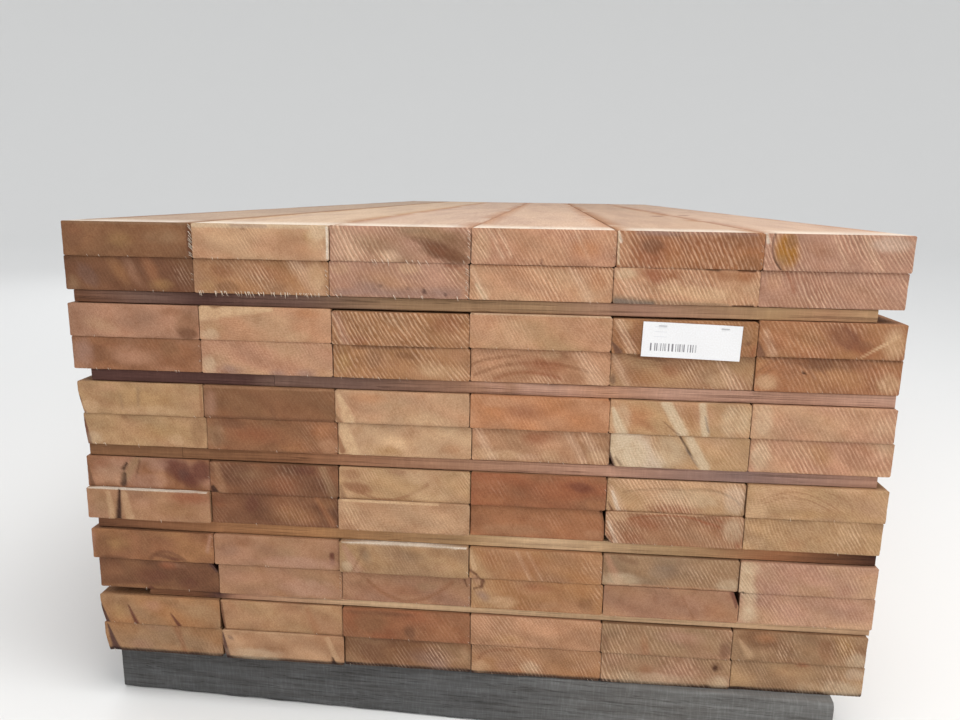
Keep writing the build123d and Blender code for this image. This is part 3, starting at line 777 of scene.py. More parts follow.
class Pair:
    """What the two boards of one tier and column share: the lean, spacing and bend of their cut marks."""

    def __init__(self, tier, column):
        self.key = (tier, column)
        self.seed = tier * 2.39 + column * 1.31
        lean = math.radians(CUT_LEAN + 2.0 * math.sin(self.seed * 3.7))
        self.way = np.array((math.cos(lean), -math.sin(lean)))
        self.side = np.array((math.sin(lean), math.cos(lean)))
        pitch = CUT_PITCH * (1.0 + 0.07 * math.sin(self.seed * 2.2))
        usual = (pitch, 0.0012 * math.sin(self.seed * 1.7), 0.0)
        self.pitch, self.bend, self.bend_at = OTHER_CUTS.get(self.key, usual)

    def strokes(self, x, z, middle):
        """The count of cut marks at each point, and the distance along them."""
        across = x * self.side[0] + z * self.side[1]
        along = (x - middle[0]) * self.way[0] + (z - middle[1]) * self.way[1]
        count = (across + self.bend * (along - self.bend_at) ** 2) / self.pitch
        return count + 0.30 * np.sin(across / 17.0 + self.seed) + 0.16 * np.sin(across / 6.1), along


def end_grid(outline, step, parts, pair):
    """Points over a board's end, in rows that follow the cut marks, and which way the outline's edge faces at
    the first and last point of each row."""
    spans = outline.points @ pair.side
    low, high = spans.min() + 0.25, spans.max() - 0.25
    offsets = np.linspace(low, high, max(int((high - low) / step), 8) + 1)
    start = offsets[:, None] * pair.side
    enter, leave, first, last = outline.cut(start, pair.way)
    reach = enter[:, None] + (leave - enter)[:, None] * np.linspace(0.0, 1.0, parts + 1)
    points = start[:, None, :] + reach[:, :, None] * pair.way
    edges = np.zeros(points.shape)
    edges[:, 0] = outline.normals[first]
    edges[:, -1] = outline.normals[last]
    return points, edges


def grid_faces(rows, columns):
    """The faces of a flat grid of points."""
    grid = np.arange(rows * columns).reshape(rows, columns)
    return np.stack([grid[:-1, :-1], grid[1:, :-1], grid[1:, 1:], grid[:-1, 1:]], -1).reshape(-1, 4)


def tube(rows, columns):
    """A grid of points that closes on itself round a board or strip, and its faces."""
    grid = np.arange(rows * columns).reshape(rows, columns)
    wrap = np.concatenate([grid, grid[:, :1]], 1)
    return grid, np.stack([wrap[:-1, :-1], wrap[:-1, 1:], wrap[1:, 1:], wrap[1:, :-1]], -1).reshape(-1, 4)


def rim_order(rows, columns):
    """The grid's outer points, once round."""
    grid = np.arange(rows * columns).reshape(rows, columns)
    return np.concatenate([grid[:, 0], grid[-1, 1:-1], grid[::-1, -1], grid[0, -2:0:-1]])


def turned(points, centre):
    """Each point's angle about the centre."""
    return np.arctan2(points[:, 1] - centre[1], points[:, 0] - centre[0])


def zipped(outer, outer_turn, inner, inner_turn):
    """Triangles between two rings about one centre, the outer with many points and the inner with few."""
    order = np.argsort(outer_turn)
    outer, outer_turn = outer[order], outer_turn[order]
    near = np.searchsorted(inner_turn, outer_turn, side="right") - 1
    faces, count = [], len(inner)
    for i in range(len(outer)):
        j = (i + 1) % len(outer)
        here, there = near[i] % count, near[j] % count
        faces.append((outer[i], outer[j], inner[here]))
        while here != there:
            after = (here + 1) % count
            faces.append((outer[j], inner[after], inner[here]))
            here = after
    return faces


def nearest(s, t, places):
    """The distance from each point to a line through the places, and the share of the line's length there."""
    best, share = np.full(s.shape, np.inf), np.zeros(s.shape)
    steps = len(places) - 1
    for i, (start, end) in enumerate(zip(places[:-1], places[1:])):
        run = end - start
        part = ((s - start[0]) * run[0] + (t - start[1]) * run[1]) / max(run @ run, TINY)
        part = np.clip(part, 0.0, 1.0)
        far = np.hypot(s - start[0] - part * run[0], t - start[1] - part * run[1])
        closer = far < best
        best, share = np.where(closer, far, best), np.where(closer, (i + part) / steps, share)
    return best, share


def marks_on(pair, level):
    """The marks of one board: tone, strength in percent, and shape."""
    for mark in MARKS[pair.key].split(","):
        board, tone, strength, *shape = mark.split()
        if board in (BOARD_LETTERS[level], "B"):
            shape = [float(value) for value in shape]
            if len(shape) == 4:
                shape.append(0.0)
            yield tone, float(strength), shape


def covered(shape, s, t, seed, soft):
    """How much a mark covers each point, from 0 to 1. Soft ones have no clear edge."""
    scale = np.array((BOARD_WIDE, PAIR_TALL)) / 100.0
    rough = patches(s / 7.0, t / 7.0, seed + shape[0] * 0.09)
    if len(shape) == 5:
        across, up, wide, high, lean = shape
        ds, dt = s - across * scale[0], t - up * scale[1]
        turn = math.radians(lean)
        a = (ds * math.cos(turn) + dt * math.sin(turn)) / wide
        b = (-ds * math.sin(turn) + dt * math.cos(turn)) / high
        fade = SOFT_PATCH_FADE if soft else PATCH_FADE
        return 1.0 - smooth_step(*fade, np.hypot(a, b) + 0.13 * rough)
    if len(shape) == 6:
        places = [np.array(shape[i:i + 2]) * scale for i in (0, 2)]
        wide = shape[4:6]
    else:
        first, bend, last = (np.array(shape[i:i + 2]) * scale for i in (0, 2, 4))
        bend = 2 * bend - (first + last) / 2
        steps = np.linspace(0.0, 1.0, 13)[:, None]
        places = list(first * (1 - steps) ** 2 + 2 * bend * steps * (1 - steps) + last * steps**2)
        wide = (shape[6], shape[6])
    far, share = nearest(s, t, places)
    size = wide[0] + (wide[1] - wide[0]) * share
    fade = SOFT_STROKE_FADE if soft else STROKE_FADE
    return 1.0 - smooth_step(size * fade[0], size * fade[1] + 0.5, far + 0.12 * rough * size)


def paint_end(pair, level, look, marked, s, t):
    """Tones, cut strength and recesses at the points of an end, s across and t up the pair in millimetres."""
    first, second = look.tones[level]
    seed = pair.seed + level * 0.9
    share = smooth_step(-0.6, 0.9, patches(s / 36.0, t / 24.0, seed))
    tones = mixed(TONES[first], TONES[second], share * 0.75)
    tones = tones * (1.015 + 0.15 * patches(s / 27.0, t / 15.0, seed + 1.3))[..., None]
    # A lower board gets painted shade below the seam and painted light at its foot
    if level == LOWER:
        seam = smooth_step(BOARD_TALL - SEAM_DEPTH, BOARD_TALL, t)
        foot = 1.0 - smooth_step(0.0, FOOT_DEPTH, t)
        tones = tones * (1.0 - SEAM_SHADE * seam + FOOT_LIGHT * foot)[..., None]
    power = np.full(s.shape, look.cuts[level])
    sunk = np.zeros(s.shape)
    for tone, strength, shape in (marks_on(pair, level) if marked else ()):
        cover = covered(shape, s, t, seed, tone in SOFT_TONES) * strength / 100.0
        if tone == "saw":
            power = power + cover
            continue
        if tone == "glow":
            power = power + 0.9 * cover
            cover = cover * 0.42
        tones = mixed(tones, TONES[tone], cover)
        if tone in DARK_TONES:
            sunk = np.maximum(sunk, cover * DARK_TONES[tone])
            power = power * (1 - cover)
        elif tone in DULL_TONES:
            power = power * (1 - 0.5 * cover)
    return tones, power, sunk


def make_end(mesh, outline, y, facing, pair, level, look, centre, size, pith):
    """One sawn end. Facing is -1 for the front. Returns its rim's points and places."""
    front = facing < 0
    points, edges = end_grid(outline, *(FRONT_GRID if front else BACK_GRID), pair)
    rows, columns = points.shape[:2]
    x, z = points[..., 0], points[..., 1]
    s = (x - centre[0] + size[0] / 2) * BOARD_WIDE / size[0]
    t = (z - centre[1] + size[1] / 2) * BOARD_TALL / size[1] + (BOARD_TALL if level == UPPER else 0.0)
    tones, power, sunk = paint_end(pair, level, look, front, s, t)
    stroke, along = pair.strokes(x, z, centre)
    seed = pair.seed + level
    uneven = 0.8 + 0.5 * wobble(stroke / 5.0 + 0.4 * np.sin(along / 23.0), seed)
    uneven = uneven * (0.95 + 0.85 * patches(s / 42.0, t / 30.0, seed + 6.1)).clip(0.12, 1.6)
    power = np.clip(power * uneven, 0.05, 1.3)
    depth = CUT_DEPTH * (0.25 + power) * (0.5 - 0.5 * np.sin(math.tau * stroke))
    depth = depth + 0.25 * (1 + patches(s / 20.0, t / 15.0, seed + 2.2)) + 0.10 * rng.random(depth.shape)
    border = np.abs(edges).sum(-1) > 0
    tearing = (0.5 + 0.5 * patches(s / 11.0, t / 11.0, seed + 4.0)).clip(0, 1)
    inset = np.where(border, 0.04 + 0.30 * tearing * rng.random(depth.shape), 0.0)
    on_right = edges[..., 0] > 0.9
    burr = np.where(on_right, 0.3 + 0.6 * rng.random(depth.shape), 0.0)
    if pair.key in BURRED:
        burr = burr * 1.5 + np.where(on_right, 0.3, 0.0)
    if front and pair.key[1] < COLUMNS:
        inset = inset - burr
    depth = np.maximum(depth, 0.0) + np.where(border, 0.25 + 0.6 * tearing, 0.0) + sunk
    x, z = x - edges[..., 0] * inset, z - edges[..., 1] * inset
    tones = tones * np.where(border, 0.92, 1.0)[..., None]
    tones = np.concatenate([tones, np.full((rows, columns, 1), look.rings)], -1)
    full = np.stack([x, y - facing * depth, z], -1)
    ring = np.stack([x - pith[0], np.full(x.shape, pair.seed * GRAIN_SHIFT + y), z - pith[1]], -1)
    cut = np.stack([stroke, along + pair.seed * CUT_SHIFT, power], -1)
    faces = grid_faces(rows, columns)
    base = mesh.add(full, faces if front else faces[:, ::-1], END, tones, ring, cut)
    rim = rim_order(rows, columns)
    return base + rim, np.stack([x.ravel()[rim], z.ravel()[rim]], 1)


def end_outline(corners, y):
    """The section of a board's solid at one end."""
    return Outline(corners[np.abs(corners[:, 1] - y) < SAME_PLANE][:, [0, 2]])


def face_rows(front_y, back_y, seen):
    """Where along a board its rings of points are, many if its faces show."""
    if seen:
        near_front = front_y + np.array((RIM, SEEN_NEXT[0]))
        return np.concatenate([near_front, np.linspace(front_y + SEEN_NEXT[1], back_y - RIM, SEEN_ROWS)])
    middle = (front_y + back_y) / 2
    return np.array((front_y + RIM, front_y + HIDDEN_NEXT, middle, back_y - HIDDEN_NEXT, back_y - RIM))


def face_paint(pair, level, look, section, y, front_y, low, high):
    """Tones at the points of a board's long faces, darker at its missing corners, and on some top faces a
    painted highlight that grows towards the front.
    """
    x, z = section[..., 0], section[..., 1]
    plain = mixed(TONES[look.tones[level][0]], TONES["straw"], 0.3)
    tone = plain * (1.0 + 0.06 * patches(y / 260.0, x / 60.0, pair.seed + level)[..., None])
    near_front = smooth_step(120.0, 20.0, y - front_y)
    from_side = np.minimum(x - low[0], high[0] - x)
    # Pale dust and a painted highlight: these top faces are mixed towards white, most near the front end.
    if (*pair.key, level) in PALE_TOPS_PAINTED_LIT:
        upward = (np.abs(z - high[1]) < 2.0) & (from_side > 2.0)
        tone = mixed(tone, TONES["white"], upward * (0.32 + 0.56 * near_front))
    else:
        tone = mixed(tone, TONES["olive"], 0.5 * near_front)
    missing = np.minimum(from_side, np.minimum(z - low[1], high[1] - z))
    return mixed(tone, TONES["bark"], smooth_step(2.2, 3.2, missing))


def make_board(mesh, corners, pair, level, look, back_look, seen):
    """A whole board: two sawn ends and the long faces between them."""
    front_y, back_y = corners[:, 1].min(), corners[:, 1].max()
    front, back = end_outline(corners, front_y), end_outline(corners, back_y)
    low, high = corners.min(0)[[0, 2]], corners.max(0)[[0, 2]]
    centre, size = (low + high) / 2, high - low
    to_pair_middle = -BOARD_TALL / 2 if level == UPPER else BOARD_TALL / 2
    pith = centre + np.array((0.0, to_pair_middle)) + look.pith
    seed = pair.seed + level
    drift = np.array((12.0 * math.sin(seed * 5.1), 9.0 * math.cos(seed * 2.3)))
    ends = (make_end(mesh, front, front_y, -1, pair, level, look, centre, size, pith),
            make_end(mesh, back, back_y, 1, pair, level, back_look, centre, size, pith + drift))
    spread = [front.points, back.points]
    for corner, after in zip(front.points, np.roll(front.points, -1, 0)):
        count = max(int(np.hypot(*(after - corner)) / (SEEN_STEP if seen else HIDDEN_STEP)), 1)
        spread.append(corner + (after - corner) * (np.arange(1, count) / count)[:, None])
    turns = np.unique(np.round(turned(np.concatenate(spread), centre), 4))
    ways = np.stack([np.cos(turns), np.sin(turns)], 1)
    front_reach, back_reach = front.reach(centre, ways), back.reach(centre, ways)
    rows = face_rows(front_y, back_y, seen)
    share = (rows - front_y) / (back_y - front_y)
    reach = front_reach + (back_reach - front_reach) * share[:, None]
    if seen:
        worn = 0.3 * (1 + patches(rows[:, None] / 140.0, turns[None, :] * 2.0, seed))
        worn = worn + 0.2 * rng.random(reach.shape)
        reach = reach - np.clip(worn, 0.0, 1.0)
    else:
        reach = reach - 0.1
    section = centre + reach[..., None] * ways
    y = np.broadcast_to(rows[:, None], reach.shape)
    sway = pith + drift * share[:, None, None] + 7.0 * np.sin(rows / 410.0 + seed * 2.0)[:, None, None]
    grown = section - sway
    ring = np.stack([grown[..., 0], y + seed * GRAIN_SHIFT, grown[..., 1]], -1)
    tone = face_paint(pair, level, look, section, y, front_y, low, high)
    grid, faces = tube(*reach.shape)
    full = np.stack([section[..., 0], y, section[..., 1]], -1)
    base = mesh.add(full, faces, FACE, tone, ring)
    for (rim, places), line, step in ((ends[0], grid[0], -1), (ends[1], grid[-1], 1)):
        joined = zipped(rim, turned(places, centre), base + line, turns)
        mesh.join([face[::step] for face in joined], FACE)
    return front_y, centre, size


# A turn's thirds, in radians
THIRDS = (0.0, 2.094, 4.189)


def add_fibre(mesh, root, way, length, width, tone):
    """One torn fibre: a three-sided spike that bends down towards its tip."""
    way = way / np.linalg.norm(way)
    side = np.cross(way, (0.0, 0.0, 1.0))
    side = side / max(np.linalg.norm(side), 1e-6)
    up = np.cross(side, way)
    fall = np.array((0.0, 0.0, length))
    points = []
    for share, scale, sag in ((0.0, 1.0, 0.0), (0.5, 0.8, 0.08)):
        centre = root + way * length * share - fall * sag
        for turn in THIRDS:
            points.append(centre + width * scale * (math.cos(turn) * side + 0.6 * math.sin(turn) * up))
    points.append(root + way * length * 0.95 - fall * 0.25)
    faces = [(i, (i + 1) % 3, 3 + (i + 1) % 3, 3 + i) for i in range(3)]
    faces += [(3 + i, 3 + (i + 1) % 3, 6) for i in range(3)] + [(2, 1, 0)]
    mesh.add(points, faces, FUZZ, tone, root)


def fringe(mesh, pair, y, centre, size, edge, share, length, tone):
    """Torn fibres along one edge of a front end, where the saw's teeth left the wood."""
    half = size / 2 - 1.0
    upright = edge == "right"
    gap = pair.pitch / (pair.side[1] if upright else pair.side[0])
    span = 2 * half[1] if upright else 2 * half[0]
    for _ in range(rng.poisson(share * span / gap)):
        t = rng.uniform(-0.95, 0.95)
        if upright:
            root = np.array((centre[0] + half[0], y + 0.2, centre[1] + t * half[1]))
            way = np.array((rng.uniform(0.7, 1.0), -rng.uniform(0.1, 0.35), -rng.uniform(0.15, 0.8)))
        else:
            root = np.array((centre[0] + t * half[0], y + 0.2, centre[1] - half[1]))
            way = np.array((rng.uniform(0.1, 0.9), -rng.uniform(0.1, 0.5), -rng.uniform(0.5, 1.0)))
        root = root - way / np.linalg.norm(way) * np.array((1.0, 0.0, 1.0)) * length * 0.45
        add_fibre(mesh, root, way, length * rng.uniform(0.4, 1.3), length * rng.uniform(0.04, 0.10), tone)


def make_layers():
    """Every layer of boards, six to a piece."""
    materials = (end_wood(), face_wood(), fuzz_wood())
    keys = sorted(LOOKS)
    for node in sorted(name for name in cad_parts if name.endswith("_boards")):
        tier = TIERS + 1 - int(node.split("_")[1])
        level = UPPER if "upper" in node else LOWER
        mesh = Mesh()
        for column, corners in enumerate(separate_solids(node), 1):
            pair = Pair(tier, column)
            look = LOOKS[pair.key]
            back_look = LOOKS[keys[(tier * 7 + column * 5) % len(keys)]]
            seen = (tier, level) in ((1, UPPER), (TIERS, LOWER)) or column in (1, COLUMNS)
            y, centre, size = make_board(mesh, corners, pair, level, look, back_look, seen)
            pale = mixed(TONES[look.tones[level][0]], TONES["white"], 0.7)
            for edge in ("right", "bottom"):
                share, length = FRINGES.get((tier, column, BOARD_LETTERS[level], edge), STRAY_FIBRES)
                fringe(mesh, pair, y, centre, size, edge, share, length, pale)
        mesh.build(node.replace("_boards", "_lumber"), materials, node)


make_layers()


# Stickers and bunks. For each row of stickers, and for the bunks, the tones along it, by place in millimetres
# from the package's middle.

STRIP_TONES = {
    # Painted shade: the dark dusk and plum stretch at the left end of this row.
    "row_5": ((-600, "umber"), (-500, "dusk"), (-400, "plum"), (-260, "dusk"), (-100, "khaki"),
              (100, "khaki"), (240, "mauve"), (420, "straw"), (500, "tan"), (590, "straw")),
    # Painted shade: the plum and dusk stretch at the left end of this row.
    "row_4": ((-600, "plum"), (-340, "plum"), (-300, "dusk"), (-150, "dusk"), (0, "rose"), (30, "mauve"),
              (55, "rose"), (80, "blush"), (130, "blush"), (200, "pink"), (300, "blush"), (480, "mauve"),
              (600, "blush")),
    "row_3": ((-600, "olive"), (-450, "olive"), (-250, "brown"), (0, "rose"), (200, "mauve"), (400, "lilac"),
              (590, "mauve")),
    "row_2": ((-600, "umber"), (-500, "brown"), (-250, "honey"), (0, "straw"), (120, "cream"), (300, "straw"),
              (450, "copper"), (540, "umber"), (600, "bark")),
    "row_1": ((-600, "brown"), (-430, "umber"), (-400, "plum"), (-370, "pink"), (-150, "cream"),
              (50, "cream"), (250, "cream"), (600, "pale")),
    # Painted light: the bunks turn from ash to a paler grey towards their right end.
    "bunk": ((-600, "ash"), (0, "ash"), (300, "ash_painted_lit"), (600, "ash_painted_lit")),
}


def strip_ends(solid, spacing):
    """Rings of points round a strip's left and right end, which match point by point."""
    middle_x = (solid[:, 0].min() + solid[:, 0].max()) / 2
    rings = []
    for end in (solid[solid[:, 0] < middle_x], solid[solid[:, 0] >= middle_x]):
        middle = end.mean(0)
        end = end[np.argsort(np.arctan2(end[:, 2] - middle[2], end[:, 1] - middle[1]))]
        ring = []
        for corner, after in zip(end, np.roll(end, -1, 0)):
            count = max(int(round(np.linalg.norm(after - corner) / spacing)), 1)
            ring.append(corner + (after - corner) * (np.arange(count) / count)[:, None])
        rings.append(np.concatenate(ring))
    return rings


def make_strip(node, slot, material, tones, spacing, wear):
    """A sawn strip along X that follows its solid, with worn edges and a tone that shifts along it."""
    solid = separate_solids(node)[0]
    low_x, high_x = solid[:, 0].min(), solid[:, 0].max()
    left, right = strip_ends(solid, spacing)
    count = max(int((high_x - low_x) / (spacing * 1.6)), 2)
    share = np.linspace(0.0, 1.0, count + 1)[:, None, None]
    share = share + np.where((share > 0) & (share < 1), 0.3 * rng.uniform(-1, 1, share.shape) / count, 0.0)
    rows = left * (1 - share) + right * share
    middle = rows.mean(1, keepdims=True)
    inward = (middle - rows) * np.array((0.0, 1.0, 1.0))
    half = np.abs(inward[..., 1:]).max(1, keepdims=True)
    corner = smooth_step(0.86, 1.0, np.abs(inward[..., 1:] / half).min(-1))
    inward = inward / np.maximum(np.linalg.norm(inward, axis=2, keepdims=True), 1e-6)
    turn = np.arctan2(inward[..., 2], inward[..., 1])
    seed = (low_x + middle[0, 0, 2] * 3.0) * 0.013
    x = rows[..., 0]
    grain = patches(x / 160.0, turn * 9.0, seed)
    chips = patches(x / 22.0, turn * 3.0, seed + 2.0)
    loss = wear * (0.25 * (1 + grain) + corner * (0.6 + chips).clip(0, 2))
    loss = loss + 0.12 * wear * rng.random(grain.shape)
    rows = rows + inward * np.clip(loss, 0.02, None)[..., None]
    places = np.array([place for place, _ in tones], float)
    colours = np.array([TONES[name] for _, name in tones])
    at = x + 18.0 * patches(x / 70.0, turn * 2.0, seed)
    tone = np.stack([np.interp(at, places, colours[:, i]) for i in range(3)], -1)
    tone = tone * (1.0 + 0.10 * patches(x / 55.0, turn * 4.0, seed + 7.0)[..., None])
    grid, faces = tube(*x.shape)
    mesh = Mesh()
    base = mesh.add(rows, faces, 0, tone, rows + seed * STRIP_SHIFT)
    for line, step, depth in ((0, -1, 0.8), (-1, 1, -0.8)):
        hub = rows[line].mean(0) + np.array((depth, 0.0, 0.0))
        hub_at = mesh.add(hub, [], 0, tone[line].mean(0) * 0.9, hub + seed * STRIP_SHIFT)
        ring_at = base + grid[line]
        mesh.join([(a, b, hub_at)[::step] for a, b in zip(ring_at, np.roll(ring_at, -1))], 0)
    mesh.build(node + "_wood", (material,), node)


# The spacing of a strip's points and how deep its wear is, in millimetres
STICKER_SHAPE, BUNK_SHAPE = (4.5, 0.7), (6.0, 1.8)


def make_strips():
    """Every sticker and bunk."""
    sticker = strip_wood("sticker_wood", 1.0, (0.84, 0.82, 0.81), 0.8, 0.4)
    bunk = strip_wood("bunk_wood", 1.8, (0.60, 0.59, 0.58), 0.55, 0.85)
    for node in sorted(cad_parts):
        if node.startswith("sticker_row_"):
            tones = STRIP_TONES["row_" + node.split("_")[2]]
            make_strip(node, "sticker_wood", sticker, tones, *STICKER_SHAPE)
        elif node.endswith("_bunk"):
            make_strip(node, "bunk_wood", bunk, STRIP_TONES["bunk"], *BUNK_SHAPE)


make_strips()


# Lot tag

# Millimetres from the card's lower left corner, staples in shares of the card from its middle
BAR_SPAN, BAR_TALL = (11.0, 76.0), (9.0, 20.0)
LINE_SPAN, LINE_HEIGHTS, LINE_THICK = (16.0, 34.0), (29.0, 36.0, 43.0), 0.7
CARD_THICK = 0.45
STAPLES = ((-0.30, 0.40), (0.33, 0.40))
STAPLE_SPAN, LEG_PLACES, WIRE = 5.5, (-5.2, 5.2), 0.3
BOX_FACES = ((0, 1, 3, 2), (4, 6, 7, 5), (0, 4, 5, 1), (2, 3, 7, 6), (0, 2, 6, 4), (1, 5, 7, 3))


def tag_material():
    """White card with generic bars along its foot and a few ruled lines."""
    n = Nodes("tag_card")
    across, up, _ = n.parts(n.attribute("ring"))
    mottle = n.noise(n.attribute("ring"), 0.5, 3.0)
    colour = n.mix(n.ramp(mottle, 0.3, 0.7), (0.78, 0.77, 0.77), (0.83, 0.83, 0.84))

    def between(value, low, high):
        return n.times(n.math("GREATER_THAN", value, low), n.math("LESS_THAN", value, high))

    stripe = n.new("ShaderNodeTexNoise", {"W": across, "Scale": 0.36, "Detail": 1.0, "Roughness": 0.8},
                   noise_dimensions="1D").outputs["Fac"]
    bars = n.times(between(across, *BAR_SPAN), between(up, *BAR_TALL))
    bars = n.times(bars, n.ramp(stripe, 0.51, 0.53))
    colour = n.mix(n.times(bars, 0.85), colour, (0.10, 0.09, 0.11))
    for height in LINE_HEIGHTS:
        line = n.times(between(up, height, height + LINE_THICK), between(across, *LINE_SPAN))
        colour = n.mix(n.times(line, 0.25), colour, (0.30, 0.32, 0.42))
    return n.finish(colour, n.times_plus(mottle, 0.1, 0.5), n.bump(mottle, 0.1, 0.0002), 0.4)


def steel_material():
    """Bright, finely scratched staple wire."""
    n = Nodes("staple_steel")
    scratch = n.noise(n.attribute("ring"), 2.0, 2.0)
    n.shader.inputs["Metallic"].default_value = 1.0
    colour = n.scaled(scratch, (0.55, 0.55, 0.56), (0.7, 0.7, 0.7))
    return n.finish(colour, n.times_plus(scratch, 0.2, 0.3), n.bump(scratch, 0.1, 0.0001), 0.5)


def make_tag():
    """A card, lifted a little at its ends, and two staples."""
    solid = separate_solids("lot_tag")[0]
    centre = solid.mean(0)
    back = solid[:, 1].max()
    right_side = solid[solid[:, 0] > centre[0]]
    top = right_side[right_side[:, 2].argmax()]
    foot = right_side[right_side[:, 2].argmin()]
    lift = (top - foot) * np.array((1.0, 0.0, 1.0))
    tall = np.linalg.norm(lift)
    lift = lift / tall
    across = np.array((lift[2], 0.0, -lift[0]))
    wide = 2 * abs((top - centre) @ across)
    columns, rows = 40, 12
    u, v = np.meshgrid(np.linspace(-0.5, 0.5, columns + 1), np.linspace(-0.5, 0.5, rows + 1))
    curl = 0.25 + 1.6 * np.abs(2 * u) ** 3 * (0.4 + 0.6 * (v + 0.5)) + 0.25 * np.sin(u * 9.0 + v * 3.0)
    places = centre + u[..., None] * wide * across + v[..., None] * tall * lift
    places[..., 1] = back - curl.clip(0.05, None)
    ring = np.stack([(u + 0.5) * wide, (v + 0.5) * tall, np.zeros(u.shape)], -1)
    mesh = Mesh()
    faces = grid_faces(rows + 1, columns + 1)
    rim = rim_order(rows + 1, columns + 1)
    white = np.array((0.88, 0.88, 0.88))
    behind = mesh.add(places, faces, 0, white, np.full(ring.shape, -20.0))
    front = mesh.add(places - np.array((0.0, CARD_THICK, 0.0)), faces[:, ::-1], 0, white, ring)
    mesh.join([(behind + a, behind + b, front + b, front + a) for a, b in zip(rim, np.roll(rim, -1))], 0)

    def add_wire(middle, sideways, upward, inward):
        """A straight piece of wire, between two places each way from its staple's middle."""
        corners = [middle + across * a + lift * b + np.array((0.0, c, 0.0))
                   for a in sideways for b in upward for c in inward]
        mesh.add(corners, BOX_FACES, 1, white, middle)

    for place_u, place_v in STAPLES:
        middle = centre + place_u * wide * across + place_v * tall * lift
        middle[1] = back - 1.35
        add_wire(middle, (-STAPLE_SPAN, STAPLE_SPAN), (-0.35, 0.35), (-WIRE, WIRE))
        for leg in LEG_PLACES:
            add_wire(middle, (leg - WIRE, leg + WIRE), (-WIRE, WIRE), (0.1, 1.2))
    mesh.build("lot_card", (tag_material(), steel_material()), "lot_tag")


make_tag()


# Floor, light and camera

def stage():
    """A round pale floor that sweeps up at its edge into a plain backdrop, the same from every side."""
    flat, turn, tall, sides = 12.0, 6.0, 8.0, 96
    line = [(flat, 0.0)]
    for a in np.linspace(0.1, math.pi / 2, 16):
        line.append((flat + turn * math.sin(a), turn - turn * math.cos(a)))
    line.append((flat + turn, tall))
    turns = [math.tau * i / sides for i in range(sides)]
    points = [(r * math.cos(a), r * math.sin(a), z) for r, z in line for a in turns]
    faces = [tuple(range(sides))]
    for ring in range(len(line) - 1):
        for i in range(sides):
            j = (i + 1) % sides
            faces.append((ring * sides + j, ring * sides + i, (ring + 1) * sides + i, (ring + 1) * sides + j))
    mesh = bpy.data.meshes.new("floor")
    mesh.from_pydata(points, [], faces)
    mesh.polygons.foreach_set("use_smooth", [True] * len(faces))
    floor = bpy.data.objects.new("floor", mesh)
    bpy.context.scene.collection.objects.link(floor)
    n = Nodes("pale_floor")
    n.shader.inputs["Base Color"].default_value = (0.80, 0.80, 0.79, 1.0)
    n.shader.inputs["Roughness"].default_value = 0.95
    n.shader.inputs["Specular IOR Level"].default_value = 0.0
    mesh.materials.append(n.material)


def lamp(name, place, aim, size, power, colour):
    """A soft rectangular light that faces its aim."""
    data = bpy.data.lights.new(name, "AREA")
    data.shape = "RECTANGLE"
    data.size, data.size_y = size
    data.energy = power
    data.color = colour
    light = bpy.data.objects.new(name, data)
    light.location = place
    light.rotation_euler = (Vector(aim) - Vector(place)).to_track_quat("-Z", "Y").to_euler()
    bpy.context.scene.collection.objects.link(light)


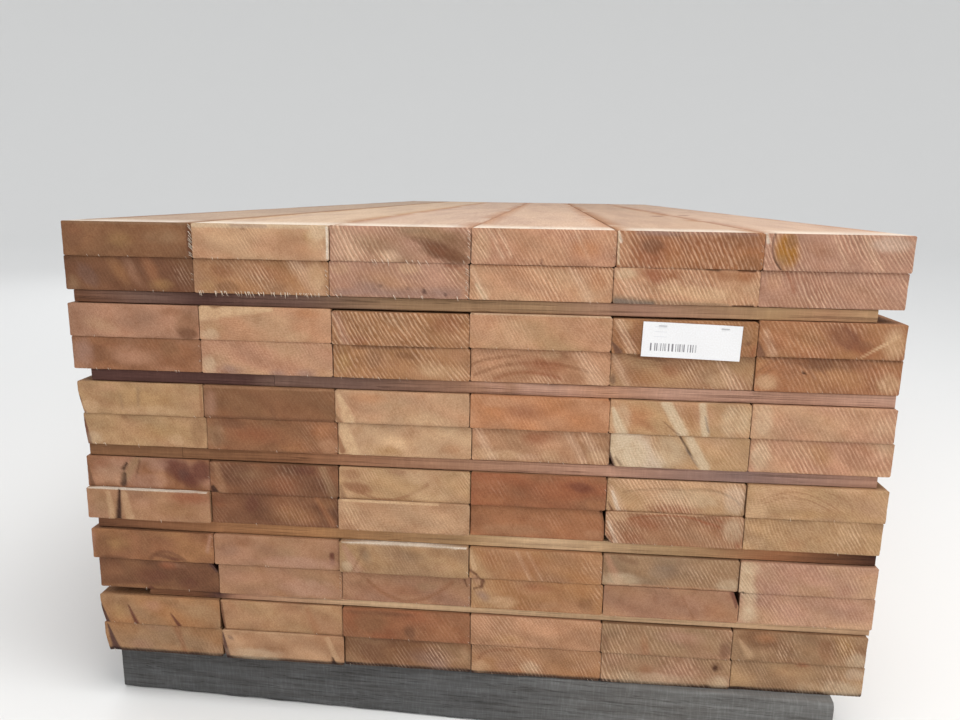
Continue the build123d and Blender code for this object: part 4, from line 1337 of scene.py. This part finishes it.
def light_it():
    """An even sky that the camera sees as plain grey, and four lamps."""
    world = bpy.data.worlds.new("studio")
    world.use_nodes = True
    background = world.node_tree.nodes["Background"]
    background.inputs["Color"].default_value = (0.97, 0.98, 1.0, 1.0)
    background.inputs["Strength"].default_value = 0.895
    nodes, links = world.node_tree.nodes, world.node_tree.links
    seen = nodes.new("ShaderNodeBackground")
    seen.inputs["Color"].default_value = (0.60, 0.61, 0.61, 1.0)
    blend = nodes.new("ShaderNodeMixShader")
    path = nodes.new("ShaderNodeLightPath")
    share = path.outputs["Is Camera Ray"]
    for kind in ("Is Glossy Ray", "Is Transmission Ray"):
        either = nodes.new("ShaderNodeMath")
        either.operation = "MAXIMUM"
        links.new(share, either.inputs[0])
        links.new(path.outputs[kind], either.inputs[1])
        share = either.outputs[0]
    links.new(share, blend.inputs[0])
    links.new(background.outputs[0], blend.inputs[1])
    links.new(seen.outputs[0], blend.inputs[2])
    links.new(blend.outputs[0], nodes["World Output"].inputs["Surface"])
    bpy.context.scene.world = world
    lamp("overhead", (0.9, -2.2, 3.4), (0.0, -0.9, 0.5), (2.2, 1.8), 68.0, (1.0, 0.99, 0.97))
    lamp("front_fill", (-0.4, -5.6, 1.9), (0.0, -1.5, 0.4), (3.2, 2.0), 10.0, (1.0, 0.99, 0.98))
    lamp("right_key", (3.6, -3.4, 1.9), (0.3, -1.5, 0.4), (1.6, 1.6), 25.0, (1.0, 0.99, 0.97))
    lamp("back_fill", (-2.5, 4.2, 3.4), (0.0, 0.5, 0.4), (3.0, 3.0), 40.0, (0.98, 0.99, 1.0))


# The camera as fitted to the photograph: pixels, millimetres of sensor, metres and degrees
PHOTO_WIDTH, FOCAL_PIXELS, SENSOR = 960, 780, 36.0
CAMERA_PLACE = (0.1045, -2.6261, 0.8346)
CAMERA_YAW, CAMERA_PITCH, CAMERA_ROLL = 4.765, 12.111, -0.824


def place_camera():
    """The photograph's own view."""
    data = bpy.data.cameras.new("photo_view")
    data.sensor_width = SENSOR
    data.lens = SENSOR * FOCAL_PIXELS / PHOTO_WIDTH
    camera = bpy.data.objects.new("photo_view", data)
    turn = Matrix.Rotation(math.radians(CAMERA_YAW), 4, "Z")
    tip = Matrix.Rotation(math.radians(90.0 - CAMERA_PITCH), 4, "X")
    roll = Matrix.Rotation(math.radians(-CAMERA_ROLL), 4, "Z")
    camera.matrix_world = Matrix.Translation(CAMERA_PLACE) @ turn @ tip @ roll
    bpy.context.scene.collection.objects.link(camera)
    bpy.context.scene.camera = camera


stage()
light_it()
place_camera()
bpy.context.scene.view_settings.view_transform = "Standard"
